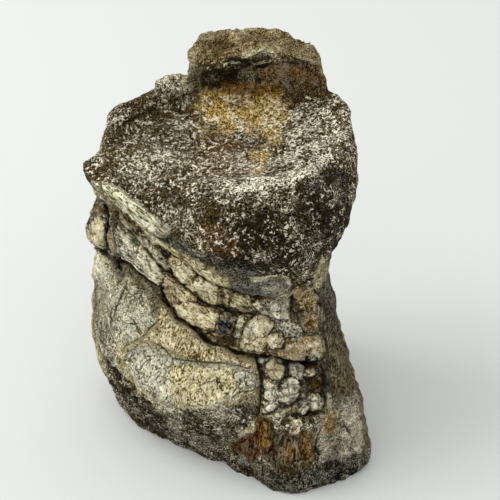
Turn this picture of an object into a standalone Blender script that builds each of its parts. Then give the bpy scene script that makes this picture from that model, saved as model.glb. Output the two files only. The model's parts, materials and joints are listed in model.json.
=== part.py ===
"""Fossil dinosaur vertebra: one centrum, standing on its lower end, with the stump of its neural arch.

The centrum is lofted through outlines that run from the sole, up the body and the neck, over the head's
rim and into the worn hollow of its upper face. The stump is a rough block at the back of that face.
Lengths in this file are millimetres until an object is made, and +Z is up.
"""

import math

import bmesh
import bpy
import numpy as np
from mathutils import Matrix, Vector, noise

MM = 0.001
NODE_NAME = "vertebra"

# Mesh sizes
COLUMNS = 96
STEPS_BETWEEN_OUTLINES = 6
SCULPT_VOXEL = 0.95
TRIANGLES = 9000

# Each outline is a closed line of (x, y, z) points, anticlockwise from the right-hand side
SOLE_CENTRE = (-4.0, -10.0, 2.6)
SOLE_HOLLOW = [(12, -14, 2), (10, 0, 2), (-4, 5, 2), (-18, 1, 2), (-24, -7, 2), (-14, -19, 2), (0, -25, 2)]
SOLE_INNER = [
    (18, -16, 0), (15, 4, 0), (-2, 10, 0), (-22, 7, 0), (-29, -6, 0), (-17, -21, 0), (2, -31, 0), (13, -30, 0),
]
SOLE_OUTER = [
    (27, -16, 0), (24, 6, 0), (12, 16, 0), (-6, 19, 0), (-24, 15, 0), (-35, 5, 0), (-37, -8, 0),
    (-25, -22, 0), (-11, -30, 0), (4, -42.5, 0), (14, -43, 0), (29, -35, 0),
]
HEEL = [
    (31, -14, 4), (28, 6, 6), (16, 20, 7), (-4, 24, 7), (-24, 20, 7), (-40, 8, 8), (-42.5, -6, 5),
    (-36, -15.5, 3), (-27, -23.5, 2.5), (-14, -31.5, 2), (-1.5, -38.5, 2), (8, -46.5, 1.5), (22, -42.5, 1.5),
    (33.5, -35, 2.5),
]
SWELL = [
    (29, -16, 24), (25, 4, 24), (17, 20, 24), (-4, 25, 24), (-26, 22, 24), (-44, 10, 22), (-47, -4, 21),
    (-42, -18, 22), (-31, -30, 22), (-15, -38, 23), (0, -42, 25), (9, -45, 22), (22, -40.5, 19), (30, -30, 21),
]
SHOULDER = [
    (24, -12, 41), (21.5, 6, 44), (14, 19, 46), (-4, 25, 46), (-25, 22, 46), (-42, 12, 43), (-46.5, 0, 40),
    (-40, -15, 39), (-29, -25, 38), (-15, -33, 37), (0, -38, 36), (9, -42, 34), (18, -36, 36), (23, -25, 39),
]
NECK = [
    (21, -8, 55), (20, 6, 57), (12, 19, 58), (-4, 23, 58), (-24, 21, 57), (-40, 15, 56), (-46.5, 5, 55),
    (-42, -8, 56), (-28, -19, 56), (-14, -25, 55), (0, -28, 54), (10, -28, 53), (17, -24, 52), (20.5, -15, 53),
]
HEAD_FOOT = [
    (25, -8, 67), (25, 6, 71), (17, 20, 76), (-2, 26, 78), (-22, 24, 80), (-37, 12, 80), (-43, 1, 79),
    (-41, -9, 78), (-33, -17.5, 76), (-22, -25, 73), (-7, -31, 67), (5, -32, 65), (15, -28, 62), (21, -20, 62),
]
HEAD_WALL = [
    (29, -6, 79), (29, 9, 82), (22, 24, 85), (0, 30, 86), (-20, 26, 87), (-37, 12, 87), (-42, -2, 84.5),
    (-44, -10, 83), (-35, -19, 81), (-22, -27, 79), (-7, -34, 76), (6, -35, 75), (18, -29, 74), (26, -18, 75),
]
RIM = [
    (26.5, -4, 88.5), (27.5, 10, 91.5), (23, 23.5, 93.5), (0, 30, 94), (-18, 26, 94.5), (-29, 18.5, 94),
    (-38, 10, 92.5), (-40.5, -2, 88.5), (-45, -10, 86.5), (-36, -16, 85), (-27, -21, 84.5), (-15, -26.5, 86),
    (-3, -28, 88.5), (8, -25, 89.5), (16, -19, 89.5), (22, -11, 89),
]
FACE = [
    (20, -2, 87.5), (20, 10, 88.5), (14, 20, 89), (0, 23, 89), (-14, 19, 89.5), (-24, 12, 90), (-31, 4, 89),
    (-34, -5, 87.5), (-30, -11, 87), (-22, -15, 87), (-12, -19, 87.5), (-2, -20, 88), (8, -17, 88.2),
    (15, -11, 88),
]
HOLLOW = [
    (11, 2, 86.2), (8, 11, 86.2), (0, 13, 86), (-10, 11, 86.4), (-18, 3, 87), (-14, -6, 86.8), (-4, -10, 86.4),
    (6, -8, 86.4),
]
HOLLOW_CENTRE = (-1.0, 4.0, 85.4)
OUTLINES = [
    SOLE_HOLLOW, SOLE_INNER, SOLE_OUTER, HEEL, SWELL, SHOULDER, NECK, HEAD_FOOT, HEAD_WALL, RIM, FACE, HOLLOW,
]

# The stump of the neural arch, as the corners of a block and of the slab that overhangs its front
STUMP_BLOCK = [
    (-18, 22, 86), (-17, 30, 80), (-2, 31, 76), (14, 31, 78), (22, 28, 84), (23, 22, 87), (12, 23, 87),
    (-8, 22, 87), (-18.5, 21, 100), (-17, 34, 100), (-15, 35, 103), (-2, 36, 95), (0, 35.5, 104.5), (-4, 23, 101),
    (8, 22, 101), (20, 22, 99), (18, 35, 97), (18, 34, 101), (23, 26, 94),
]
STUMP_SLAB = [
    (-18.5, 20, 97), (-18.5, 28, 102), (-13, 18, 99), (-13, 20, 104), (-12.5, 30, 107), (-2, 18, 100),
    (-2, 19, 103.5), (-3, 33, 107.5), (2, 17, 102), (8, 18, 102), (8, 19, 104), (9, 32, 107), (16, 19, 101),
    (17, 20, 103), (18, 31, 104), (21, 25, 99),
]

# Lines carved into the surface: points, half width, depth. A depth below nothing raises a ridge.
LEDGE = [
    (-45, -2, 55), (-42, -7, 56), (-38, -12, 57), (-33, -16, 59), (-28, -19, 56), (-24, -22, 52), (-21, -25, 48),
    (-15, -29, 46), (-7, -32, 43), (1, -35, 42), (12, -37, 41), (18, -35, 39),
]
FLANK_EDGE = [(18, -35, 39), (21.5, -30, 40), (20.5, -28, 44), (19.5, -25, 49), (19.5, -21, 55)]
PLATE_CRACK_LOW = [
    (-36, -14, 72), (-29, -19, 67), (-23, -21, 60), (-15, -25, 55), (-9, -27, 52.5), (1, -29, 52),
]
PLATE_CRACK_HIGH = [(-20, -24, 67), (-12, -26, 61), (-4, -27, 57.5), (11, -27.5, 56.5)]
BLOCK_CRACK = [(-41, -7, 74), (-39, -11, 71), (-39.5, -10, 66), (-40, -9.5, 60), (-38, -12, 57)]
FRONT_CRACK = [(1.5, -35.5, 42), (3, -39, 35), (3, -41, 30), (2, -41.5, 26)]
RIM_CHANNEL = [(-33, 3, 90), (-28, 9, 91), (-21, 14.5, 91), (-15, 19, 91)]
SLAB_RECESS = [(-4, 21, 98), (2, 20, 99.5), (10, 20, 100), (17, 21, 99), (22, 23, 95)]
NECK_NOTCH = [(-37, -14, 73), (-41.5, -6, 71), (-43.5, 3, 69.5), (-41, 12, 70)]
LEFT_BLOCK = [(-43, -5, 61), (-45, 3, 58)]
CANAL = [(-2, 36, 92), (-2, 28, 80), (-2, 24, 58), (-2, 25, 35), (-3, 24, 10)]
PEDICLE_LEFT = [(-14, 24, 84), (-14, 22, 60), (-15, 23, 36), (-15, 22, 16)]
PEDICLE_RIGHT = [(9, 25, 84), (8, 21, 60), (9, 22, 36), (9, 22, 16)]
CARVED_LINES = [
    (LEDGE, 1.7, 2.0), (FLANK_EDGE, 1.4, 1.4), (PLATE_CRACK_LOW, 1.1, 1.1), (PLATE_CRACK_HIGH, 1.0, 0.8),
    (BLOCK_CRACK, 1.4, 1.6), (FRONT_CRACK, 1.2, 1.2), (RIM_CHANNEL, 2.2, 1.6), (SLAB_RECESS, 3.0, 2.6),
    (NECK_NOTCH, 2.2, 3.0), (LEFT_BLOCK, 4.5, -1.0),
    (CANAL, 6.0, 3.0), (PEDICLE_LEFT, 4.5, -1.8), (PEDICLE_RIGHT, 4.5, -2.2),
]

# The body below the ledge has lost a layer of bone, which leaves the plates above it standing proud
LOST_LAYER = 1.8
LOST_LAYER_REACH = 16.0

# Weathering, coarse to fine: size of the lumps, and how far they move the surface
WEATHERING = [(16.0, 1.0), (5.5, 0.75), (2.6, 0.35)]
SOLE_SNAP = 0.45


def outline_radii(points, angles):
    """Returns the outline's centre, and its radius and height at each angle, on a smooth closed curve."""
    points = np.array(points, float)
    centre = points[:, :2].mean(axis=0)
    offset = points[:, :2] - centre
    angle = np.arctan2(offset[:, 1], offset[:, 0]) % (2 * math.pi)
    order = np.argsort(angle)
    angle = angle[order]
    values = np.column_stack([np.hypot(*offset.T), points[:, 2]])[order]
    angle = np.concatenate([angle[-3:] - 2 * math.pi, angle, angle[:3] + 2 * math.pi])
    values = np.concatenate([values[-3:], values, values[:3]])
    slope = np.gradient(values, angle, axis=0)
    place = np.searchsorted(angle, angles, side="right") - 1
    width = (angle[place + 1] - angle[place])[:, None]
    t = ((angles - angle[place])[:, None]) / width
    start, end = values[place], values[place + 1]
    smooth = (
        (2 * t**3 - 3 * t**2 + 1) * start
        + (t**3 - 2 * t**2 + t) * width * slope[place]
        + (3 * t**2 - 2 * t**3) * end
        + (t**3 - t**2) * width * slope[place + 1]
    )
    return centre, smooth[:, 0], smooth[:, 1]


def outline_ring(points):
    """Returns the outline as COLUMNS points, one at each angle round its centre."""
    angles = np.arange(COLUMNS) * 2 * math.pi / COLUMNS
    centre, radius, height = outline_radii(points, angles)
    return np.column_stack([centre[0] + radius * np.cos(angles), centre[1] + radius * np.sin(angles), height])


def loft(rings):
    """Returns rings with a smooth run of further rings between each two, by Catmull-Rom along the columns."""
    rings = np.array(rings)
    ends = np.concatenate([rings[:1], rings, rings[-1:]])
    made = []
    for i in range(len(rings) - 1):
        before, start, end, after = ends[i : i + 4]
        for step in range(STEPS_BETWEEN_OUTLINES):
            t = step / STEPS_BETWEEN_OUTLINES
            made.append(
                0.5 * (
                    2 * start
                    + (end - before) * t
                    + (2 * before - 5 * start + 4 * end - after) * t**2
                    + (3 * start - before - 3 * end + after) * t**3
                )
            )
    made.append(rings[-1])
    return made


def centrum_mesh():
    """Builds the lofted centrum as a closed bmesh."""
    rings = loft([outline_ring(points) for points in OUTLINES])
    bm = bmesh.new()
    rows = [[bm.verts.new(point) for point in ring] for ring in rings]
    for lower, upper in zip(rows, rows[1:]):
        for i in range(COLUMNS):
            j = (i + 1) % COLUMNS
            bm.faces.new((lower[i], lower[j], upper[j], upper[i]))
    for centre, row, down in ((SOLE_CENTRE, rows[0], True), (HOLLOW_CENTRE, rows[-1], False)):
        hub = bm.verts.new(centre)
        for i in range(COLUMNS):
            j = (i + 1) % COLUMNS
            bm.faces.new((hub, row[j], row[i]) if down else (hub, row[i], row[j]))
    return bm


def add_block(bm, corners):
    """Adds a closed block of these corners."""
    made = [bm.verts.new(corner) for corner in corners]
    hull = bmesh.ops.convex_hull(bm, input=made)
    inside = [item for item in hull["geom_interior"] if isinstance(item, bmesh.types.BMVert)]
    bmesh.ops.delete(bm, geom=inside, context="VERTS")


def apply_modifier(obj, kind, **settings):
    """Adds a modifier with these settings and makes its result the object's mesh."""
    modifier = obj.modifiers.new(kind.title(), kind)
    for name, value in settings.items():
        setattr(modifier, name, value)
    bpy.context.view_layer.update()
    made = bpy.data.meshes.new_from_object(obj.evaluated_get(bpy.context.evaluated_depsgraph_get()))
    obj.modifiers.clear()
    obj.data = made


def read(mesh, name):
    """Returns the mesh's vertex places or normals as rows of three, places in millimetres."""
    values = np.empty(len(mesh.vertices) * 3)
    mesh.vertices.foreach_get(name, values)
    return values.reshape(-1, 3) / (MM if name == "co" else 1)


def write(mesh, places):
    """Puts the vertices at these places, in millimetres."""
    mesh.vertices.foreach_set("co", (places * MM).ravel())
    mesh.update()


def nearest_on_line(places, line):
    """Returns each place's distance to the line, and the point of the line nearest to it."""
    distance = np.full(len(places), np.inf)
    nearest = np.zeros_like(places)
    for start, end in zip(np.array(line[:-1], float), np.array(line[1:], float)):
        along = end - start
        share = np.clip((places - start) @ along / (along @ along), 0, 1)
        point = start + share[:, None] * along
        gap = np.linalg.norm(places - point, axis=1)
        closer = gap < distance
        distance[closer] = gap[closer]
        nearest[closer] = point[closer]
    return distance, nearest


def carve_lines(mesh):
    """Cuts the carved lines into the surface, along its normals."""
    places, normals = read(mesh, "co"), read(mesh, "normal")
    depth = np.zeros(len(places))
    for line, half_width, cut in CARVED_LINES:
        distance, _ = nearest_on_line(places, line)
        depth += cut * np.exp(-((distance / half_width) ** 2))
    write(mesh, places - normals * depth[:, None])


def strip_lost_layer(mesh):
    """Lowers the surface below the ledge, most at the ledge and less further down."""
    places, normals = read(mesh, "co"), read(mesh, "normal")
    distance, nearest = nearest_on_line(places, LEDGE)
    below = np.clip((nearest[:, 2] - places[:, 2]) / 1.5, 0, 1)
    depth = LOST_LAYER * below * np.exp(-distance / LOST_LAYER_REACH)
    write(mesh, places - normals * depth[:, None])


def weather(mesh):
    """Roughens the surface with lumps of several sizes."""
    places, normals = read(mesh, "co"), read(mesh, "normal")
    moved = np.zeros(len(places))
    for index, (size, amount) in enumerate(WEATHERING):
        shift = Vector((31.7 * index, 12.9, 5.3))
        moved += amount * np.array([noise.noise(Vector(place) / size + shift) for place in places])
    write(mesh, places + normals * moved[:, None])


def flatten_sole(mesh):
    """Makes what lies on the ground flat."""
    places = read(mesh, "co")
    places[:, 2] = np.where(places[:, 2] < SOLE_SNAP, 0, places[:, 2])
    write(mesh, places)


def centre_on_origin(mesh):
    """Moves the vertebra so that the middle of its box's bottom is the origin."""
    places = read(mesh, "co")
    low, high = places.min(axis=0), places.max(axis=0)
    write(mesh, places - [(low[0] + high[0]) / 2, (low[1] + high[1]) / 2, low[2]])


def bone_material():
    """Returns the weathered bone's plain material."""
    material = bpy.data.materials.new("weathered bone")
    material.use_nodes = True
    surface = material.node_tree.nodes["Principled BSDF"]
    surface.inputs["Base Color"].default_value = (0.23, 0.19, 0.13, 1)
    surface.inputs["Roughness"].default_value = 0.85
    surface.inputs["Metallic"].default_value = 0.0
    return material


def main():
    """Builds the vertebra."""
    for old in list(bpy.data.objects):
        bpy.data.objects.remove(old)
    bm = centrum_mesh()
    add_block(bm, STUMP_BLOCK)
    add_block(bm, STUMP_SLAB)
    mesh = bpy.data.meshes.new(NODE_NAME)
    bm.to_mesh(mesh)
    bm.free()
    mesh.transform(Matrix.Scale(MM, 4))
    vertebra = bpy.data.objects.new(NODE_NAME, mesh)
    bpy.context.scene.collection.objects.link(vertebra)
    apply_modifier(vertebra, "REMESH", mode="VOXEL", voxel_size=SCULPT_VOXEL * MM)
    apply_modifier(vertebra, "SMOOTH", factor=0.5, iterations=3)
    carve_lines(vertebra.data)
    strip_lost_layer(vertebra.data)
    weather(vertebra.data)
    flatten_sole(vertebra.data)
    apply_modifier(vertebra, "TRIANGULATE")
    apply_modifier(vertebra, "DECIMATE", ratio=TRIANGLES / len(vertebra.data.polygons))
    flatten_sole(vertebra.data)
    centre_on_origin(vertebra.data)
    vertebra.data.materials.clear()
    vertebra.data.materials.append(bone_material())
    vertebra.data.shade_smooth()


main()
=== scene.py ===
"""Dresses the fossil vertebra: one piece of carved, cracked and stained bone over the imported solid.

Shapes and places are in millimetres until a mesh is written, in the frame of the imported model. Lines and
patches that follow the photograph are given in its pixels, on a picture 500 pixels wide and high, and are
laid on the surface from the photograph's viewpoint.
"""

import json
import logging
import math
from dataclasses import dataclass, field
from enum import Enum

import bpy
import numpy as np
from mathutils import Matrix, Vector
from mathutils.bvhtree import BVHTree

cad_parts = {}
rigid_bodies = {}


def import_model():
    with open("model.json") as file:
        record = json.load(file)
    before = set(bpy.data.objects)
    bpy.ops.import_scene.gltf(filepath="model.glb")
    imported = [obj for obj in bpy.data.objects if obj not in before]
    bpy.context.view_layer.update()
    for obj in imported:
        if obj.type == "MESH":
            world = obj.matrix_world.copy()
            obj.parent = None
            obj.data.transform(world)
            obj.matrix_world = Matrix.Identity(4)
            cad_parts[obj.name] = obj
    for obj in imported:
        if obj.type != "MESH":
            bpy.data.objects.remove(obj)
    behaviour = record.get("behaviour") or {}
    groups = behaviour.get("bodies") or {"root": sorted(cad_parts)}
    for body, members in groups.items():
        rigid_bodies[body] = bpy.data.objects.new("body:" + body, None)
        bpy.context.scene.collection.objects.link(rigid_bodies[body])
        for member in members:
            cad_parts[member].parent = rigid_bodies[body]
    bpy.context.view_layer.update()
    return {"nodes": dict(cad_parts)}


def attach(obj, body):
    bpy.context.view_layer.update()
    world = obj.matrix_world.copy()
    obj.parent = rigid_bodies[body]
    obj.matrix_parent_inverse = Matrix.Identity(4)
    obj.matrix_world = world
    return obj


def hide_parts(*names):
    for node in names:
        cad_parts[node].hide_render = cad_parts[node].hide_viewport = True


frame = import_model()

LOG = logging.getLogger("vertebra")
Path = list[tuple[float, float]]
MM = 0.001
NODE = "vertebra"
Span = tuple[float, float, float, float]
PRIMES = (0x9E3779B185EBCA87, 0xC2B2AE3D27D4EB4F, 0x165667B19E3779F9)
STIRS = (0xBF58476D1CE4E5B9, 0x94D049BB133111EB)
SEED_STEP, SEED_START = 0x27D4EB2F, 0x85EBCA77


def srgb(red: float, green: float, blue: float) -> np.ndarray:
    """Turns a display colour into the linear colour that shaders take.

    Args:
        red: Red, 0 to 255.
        green: Green, 0 to 255.
        blue: Blue, 0 to 255.

    Returns:
        The three linear values.
    """
    share = np.array([red, green, blue], float) / 255
    return np.where(share <= 0.04045, share / 12.92, ((share + 0.055) / 1.055) ** 2.4)


def ease(value: np.ndarray, low: float, high: float) -> np.ndarray:
    """Returns 0 below low and 1 above high, with a smooth rise between them."""
    share = np.clip((value - low) / (high - low), 0, 1)
    return share * share * (3 - 2 * share)


class Chance:
    """Fixed, seeded patterns in space, in millimetres."""

    @staticmethod
    def sums(low: np.ndarray) -> list[np.ndarray]:
        """Returns each whole-numbered cell's share of its hash, axis by axis."""
        whole = low.astype(np.int64).astype(np.uint64)
        return [whole[:, axis] * np.uint64(PRIMES[axis]) for axis in range(3)]

    @staticmethod
    def number(sums: list[np.ndarray], corner: tuple[int, int, int], seed: int) -> np.ndarray:
        """Draws a number for each cell.

        Args:
            sums: The cells' shares of their hashes.
            corner: How many cells further along each axis.
            seed: Which pattern.

        Returns:
            A number from 0 to 1 for each cell.
        """
        start = sum(cells * prime for cells, prime in zip(corner, PRIMES)) + seed * SEED_STEP + SEED_START
        mixed = sums[0] + sums[1] + sums[2] + np.uint64(start % 2**64)
        mixed = (mixed ^ (mixed >> np.uint64(29))) * np.uint64(STIRS[0])
        mixed = (mixed ^ (mixed >> np.uint64(32))) * np.uint64(STIRS[1])
        return ((mixed ^ (mixed >> np.uint64(31))) >> np.uint64(40)).astype(float) / 0xFFFFFF

    @classmethod
    def lumps(cls, places: np.ndarray, size: float, seed: int) -> np.ndarray:
        """Makes smooth lumps.

        Args:
            places: Points, in millimetres.
            size: Distance from lump to lump.
            seed: Which pattern.

        Returns:
            A height from -1 to 1 for each point.
        """
        scaled = places / size
        low = np.floor(scaled)
        share = scaled - low
        share = share * share * (3 - 2 * share)
        sums = cls.sums(low)
        total = np.zeros(len(places))
        for corner in np.ndindex(2, 2, 2):
            weight = np.ones(len(places))
            for axis, upper in enumerate(corner):
                weight *= share[:, axis] if upper else 1 - share[:, axis]
            total += weight * cls.number(sums, corner, seed)
        return total * 2 - 1

    @classmethod
    def rough(cls, places: np.ndarray, size: float, seed: int, octaves: int = 3) -> np.ndarray:
        """Makes lumps with smaller lumps on them.

        Args:
            places: Points, in millimetres.
            size: Distance from large lump to large lump.
            seed: Which pattern.
            octaves: How many sizes of lumps.

        Returns:
            A height of about -1 to 1 for each point.
        """
        total = np.zeros(len(places))
        for octave in range(octaves):
            total += cls.lumps(places, size / 2**octave, seed + octave) / 2**octave
        return total / 1.5

    @classmethod
    def blocks(cls, places: np.ndarray, size: float, seed: int) -> tuple[np.ndarray, np.ndarray]:
        """Splits space into uneven blocks.

        Args:
            places: Points, in millimetres.
            size: Width of a block.
            seed: Which pattern.

        Returns:
            Each point's distance to its block's edge, and a number from 0 to 1 for its block.
        """
        scaled = places / size
        low = np.floor(scaled)
        share = scaled - low
        sums = cls.sums(low - 1)
        best = np.full((2, len(places)), np.inf)
        owner = np.zeros(len(places))
        for corner in np.ndindex(3, 3, 3):
            square = np.zeros(len(places))
            for axis in range(3):
                square += (share[:, axis] + 1 - corner[axis] - cls.number(sums, corner, seed + axis)) ** 2
            gap = np.sqrt(square)
            nearer = gap < best[0]
            best[1] = np.where(nearer, best[0], np.minimum(best[1], gap))
            owner = np.where(nearer, cls.number(sums, corner, seed + 7), owner)
            best[0] = np.where(nearer, gap, best[0])
        return (best[1] - best[0]) * size / 2, owner


@dataclass(frozen=True)
class Grain:
    """A seeded roughness: its depth or strength, the size of its lumps in millimetres, and its seed."""

    depth: float
    size: float
    seed: int

    def lumps(self, places: np.ndarray) -> np.ndarray:
        """Returns its value at each point."""
        return self.depth * Chance.lumps(places, self.size, self.seed)

    def rough(self, places: np.ndarray) -> np.ndarray:
        """Returns its value at each point, with smaller lumps on the lumps."""
        return self.depth * Chance.rough(places, self.size, self.seed)


@dataclass(frozen=True)
class Rubble:
    """A seeded pattern of blocks that stand unevenly, with furrows between them, in millimetres."""

    size: float
    seed: int
    bend: Grain
    stand: float
    furrow: float
    furrow_width: float

    def blocks(self, places: np.ndarray) -> tuple[np.ndarray, np.ndarray]:
        """Returns each point's distance to its block's edge, and a number from 0 to 1 for its block."""
        return Chance.blocks(places + self.bend.rough(places)[:, None], self.size, self.seed)

    def relief(self, places: np.ndarray, more_stand: object = 0.0, more_furrow: object = 0.0) -> np.ndarray:
        """Works out the depth of the blocks and the furrows.

        Args:
            places: The surface's points.
            more_stand: What is added to the blocks' unevenness, for all points or for each.
            more_furrow: What is added to the furrows' depth, for all points or for each.

        Returns:
            A depth for each point.
        """
        edge, owner = self.blocks(places)
        furrow = np.exp(-((edge / self.furrow_width) ** 2))
        return (owner - 0.5) * (self.stand + more_stand) + (self.furrow + more_furrow) * furrow


@dataclass(frozen=True)
class Viewpoint:
    """The photograph's viewpoint."""

    elevation: float = 36.0
    distance: float = 420.0
    lens: float = 105.0
    sensor: float = 36.0
    target: tuple[float, float, float] = (5.95, 5.2, 52.0)
    picture: float = 500.0

    def axes(self) -> tuple[np.ndarray, np.ndarray, np.ndarray]:
        """Works out how the picture lies in space.

        Returns:
            The directions to the picture's right, to its top and back to the camera.
        """
        angle = math.radians(self.elevation)
        back = np.array([0.0, -math.cos(angle), math.sin(angle)])
        right = np.array([1.0, 0.0, 0.0])
        return right, np.cross(back, right), back

    def place(self) -> np.ndarray:
        """Returns the camera's place."""
        return np.array(self.target) + self.axes()[2] * self.distance

    def reach(self) -> float:
        """Returns half the picture's width at a distance of one."""
        return self.sensor / 2 / self.lens

    def ray(self, pixel: tuple[float, float]) -> np.ndarray:
        """Looks through a pixel.

        Args:
            pixel: A place on the picture, from its top left corner.

        Returns:
            The direction from the camera through it.
        """
        right, up, back = self.axes()
        half = self.picture / 2
        across = (pixel[0] - half) / half * self.reach()
        above = (half - pixel[1]) / half * self.reach()
        direction = right * across + up * above - back
        return direction / np.linalg.norm(direction)

    def pixels(self, places: np.ndarray) -> np.ndarray:
        """Looks at points.

        Args:
            places: Points, in millimetres.

        Returns:
            The pixel at which each of them is seen.
        """
        right, up, back = self.axes()
        offset = places - self.place()
        depth = -(offset @ back) * self.reach()
        half = self.picture / 2
        return np.stack([half + offset @ right / depth * half, half - offset @ up / depth * half], axis=1)

    def make_camera(self) -> bpy.types.Object:
        """Makes the scene's camera.

        Returns:
            The camera.
        """
        data = bpy.data.cameras.new("camera")
        data.lens = self.lens
        data.sensor_width = self.sensor
        camera = bpy.data.objects.new("camera", data)
        bpy.context.scene.collection.objects.link(camera)
        camera.location = Vector(self.place()) * MM
        camera.rotation_euler = (math.radians(90 - self.elevation), 0, 0)
        bpy.context.scene.camera = camera
        return camera


class Skin:
    """The fossil's surface, as the photograph's viewpoint sees it."""

    def __init__(self, obj: bpy.types.Object, view: Viewpoint) -> None:
        """Keeps a search tree of the object's mesh as it now is.

        Args:
            obj: The object.
            view: The photograph's viewpoint.
        """
        self.view = view
        self.origin = Vector(view.place() * MM)
        self.tree = BVHTree.FromObject(obj, bpy.context.evaluated_depsgraph_get())

    def hit(self, pixel: tuple[float, float]) -> np.ndarray | None:
        """Returns the point of the surface seen at a pixel, or None."""
        found = self.tree.ray_cast(self.origin, Vector(self.view.ray(pixel)))[0]
        return None if found is None else np.array(found) / MM

    def lay(self, path: Path, step: float = 0.8) -> np.ndarray:
        """Lays a line of pixels on the surface.

        Args:
            path: The line's corners.
            step: Distance between the points, in pixels.

        Returns:
            Points of the surface along the line.
        """
        points = []
        for start, end in zip(path, path[1:]):
            count = max(1, round(math.dist(start, end) / step))
            for share in np.arange(count) / count:
                points.append(self.hit(tuple(np.array(start) * (1 - share) + np.array(end) * share)))
        points.append(self.hit(path[-1]))
        return np.array([point for point in points if point is not None])


def edge_distance(pixels: np.ndarray, outline: Path) -> np.ndarray:
    """Measures pixels against a closed outline.

    Args:
        pixels: The pixels.
        outline: The outline's corners.

    Returns:
        How far each pixel is inside the outline, below zero outside it.
    """
    corners = np.array(outline, float)
    nearest = np.full(len(pixels), np.inf)
    inside = np.zeros(len(pixels), bool)
    for start, end in zip(corners, np.roll(corners, -1, axis=0)):
        along = end - start
        offset = pixels - start
        share = np.clip(offset @ along / max(along @ along, 1e-9), 0, 1)
        nearest = np.minimum(nearest, np.linalg.norm(offset - share[:, None] * along, axis=1))
        crosses = (start[1] > pixels[:, 1]) != (end[1] > pixels[:, 1])
        if along[1] != 0:
            inside ^= crosses & (pixels[:, 0] < start[0] + offset[:, 1] / along[1] * along[0])
    return np.where(inside, nearest, -nearest)


def side_of(pixels: np.ndarray, path: Path) -> np.ndarray:
    """Tells on which side of a line pixels are.

    Args:
        pixels: The pixels.
        path: The line's corners.

    Returns:
        1 for each pixel to the right of the line as it runs, and -1 for each to its left.
    """
    best = np.full(len(pixels), np.inf)
    side = np.ones(len(pixels))
    for start, end in zip(np.array(path[:-1], float), np.array(path[1:], float)):
        along = end - start
        offset = pixels - start
        share = np.clip(offset @ along / (along @ along), 0, 1)
        gap = np.linalg.norm(offset - share[:, None] * along, axis=1)
        turn = along[0] * offset[:, 1] - along[1] * offset[:, 0]
        closer = gap < best
        best[closer] = gap[closer]
        side[closer] = np.where(turn[closer] >= 0, 1, -1)
    return side


def near(places: np.ndarray, points: np.ndarray, reach: float) -> tuple[np.ndarray, np.ndarray]:
    """Finds the places within reach of some points.

    Args:
        places: All places.
        points: The points that they may be near.
        reach: The greatest distance.

    Returns:
        The indices of those places, and their distances to the nearest point.
    """
    low, high = points.min(axis=0) - reach, points.max(axis=0) + reach
    index = np.flatnonzero(((places >= low) & (places <= high)).all(axis=1))
    gap = np.full(len(index), np.inf)
    for start in range(0, len(points), 64):
        some = points[start : start + 64]
        spread = places[index][:, None, :] - some[None, :, :]
        gap = np.minimum(gap, np.sqrt((spread * spread).sum(axis=2)).min(axis=1))
    close = gap < reach
    return index[close], gap[close]


@dataclass(frozen=True)
class Cut:
    """A crack along a line of pixels, in millimetres, and how dark its dirt and painted shade are, 0 to 1.
    """

    path: Path
    half_width: float
    depth: float
    stain_and_shade: float = 1.0


@dataclass(frozen=True)
class Step:
    """An edge along a line of pixels: right of it, as it runs, the surface is lower, in millimetres."""

    path: Path
    drop: float
    reach: float


@dataclass(frozen=True)
class Pigment:
    """A mid colour of the bone, how chalky its bright specks are and how dark its pits are, 0 to 1."""

    colour: tuple[int, int, int]
    chalk: float
    contrast: float


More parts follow.
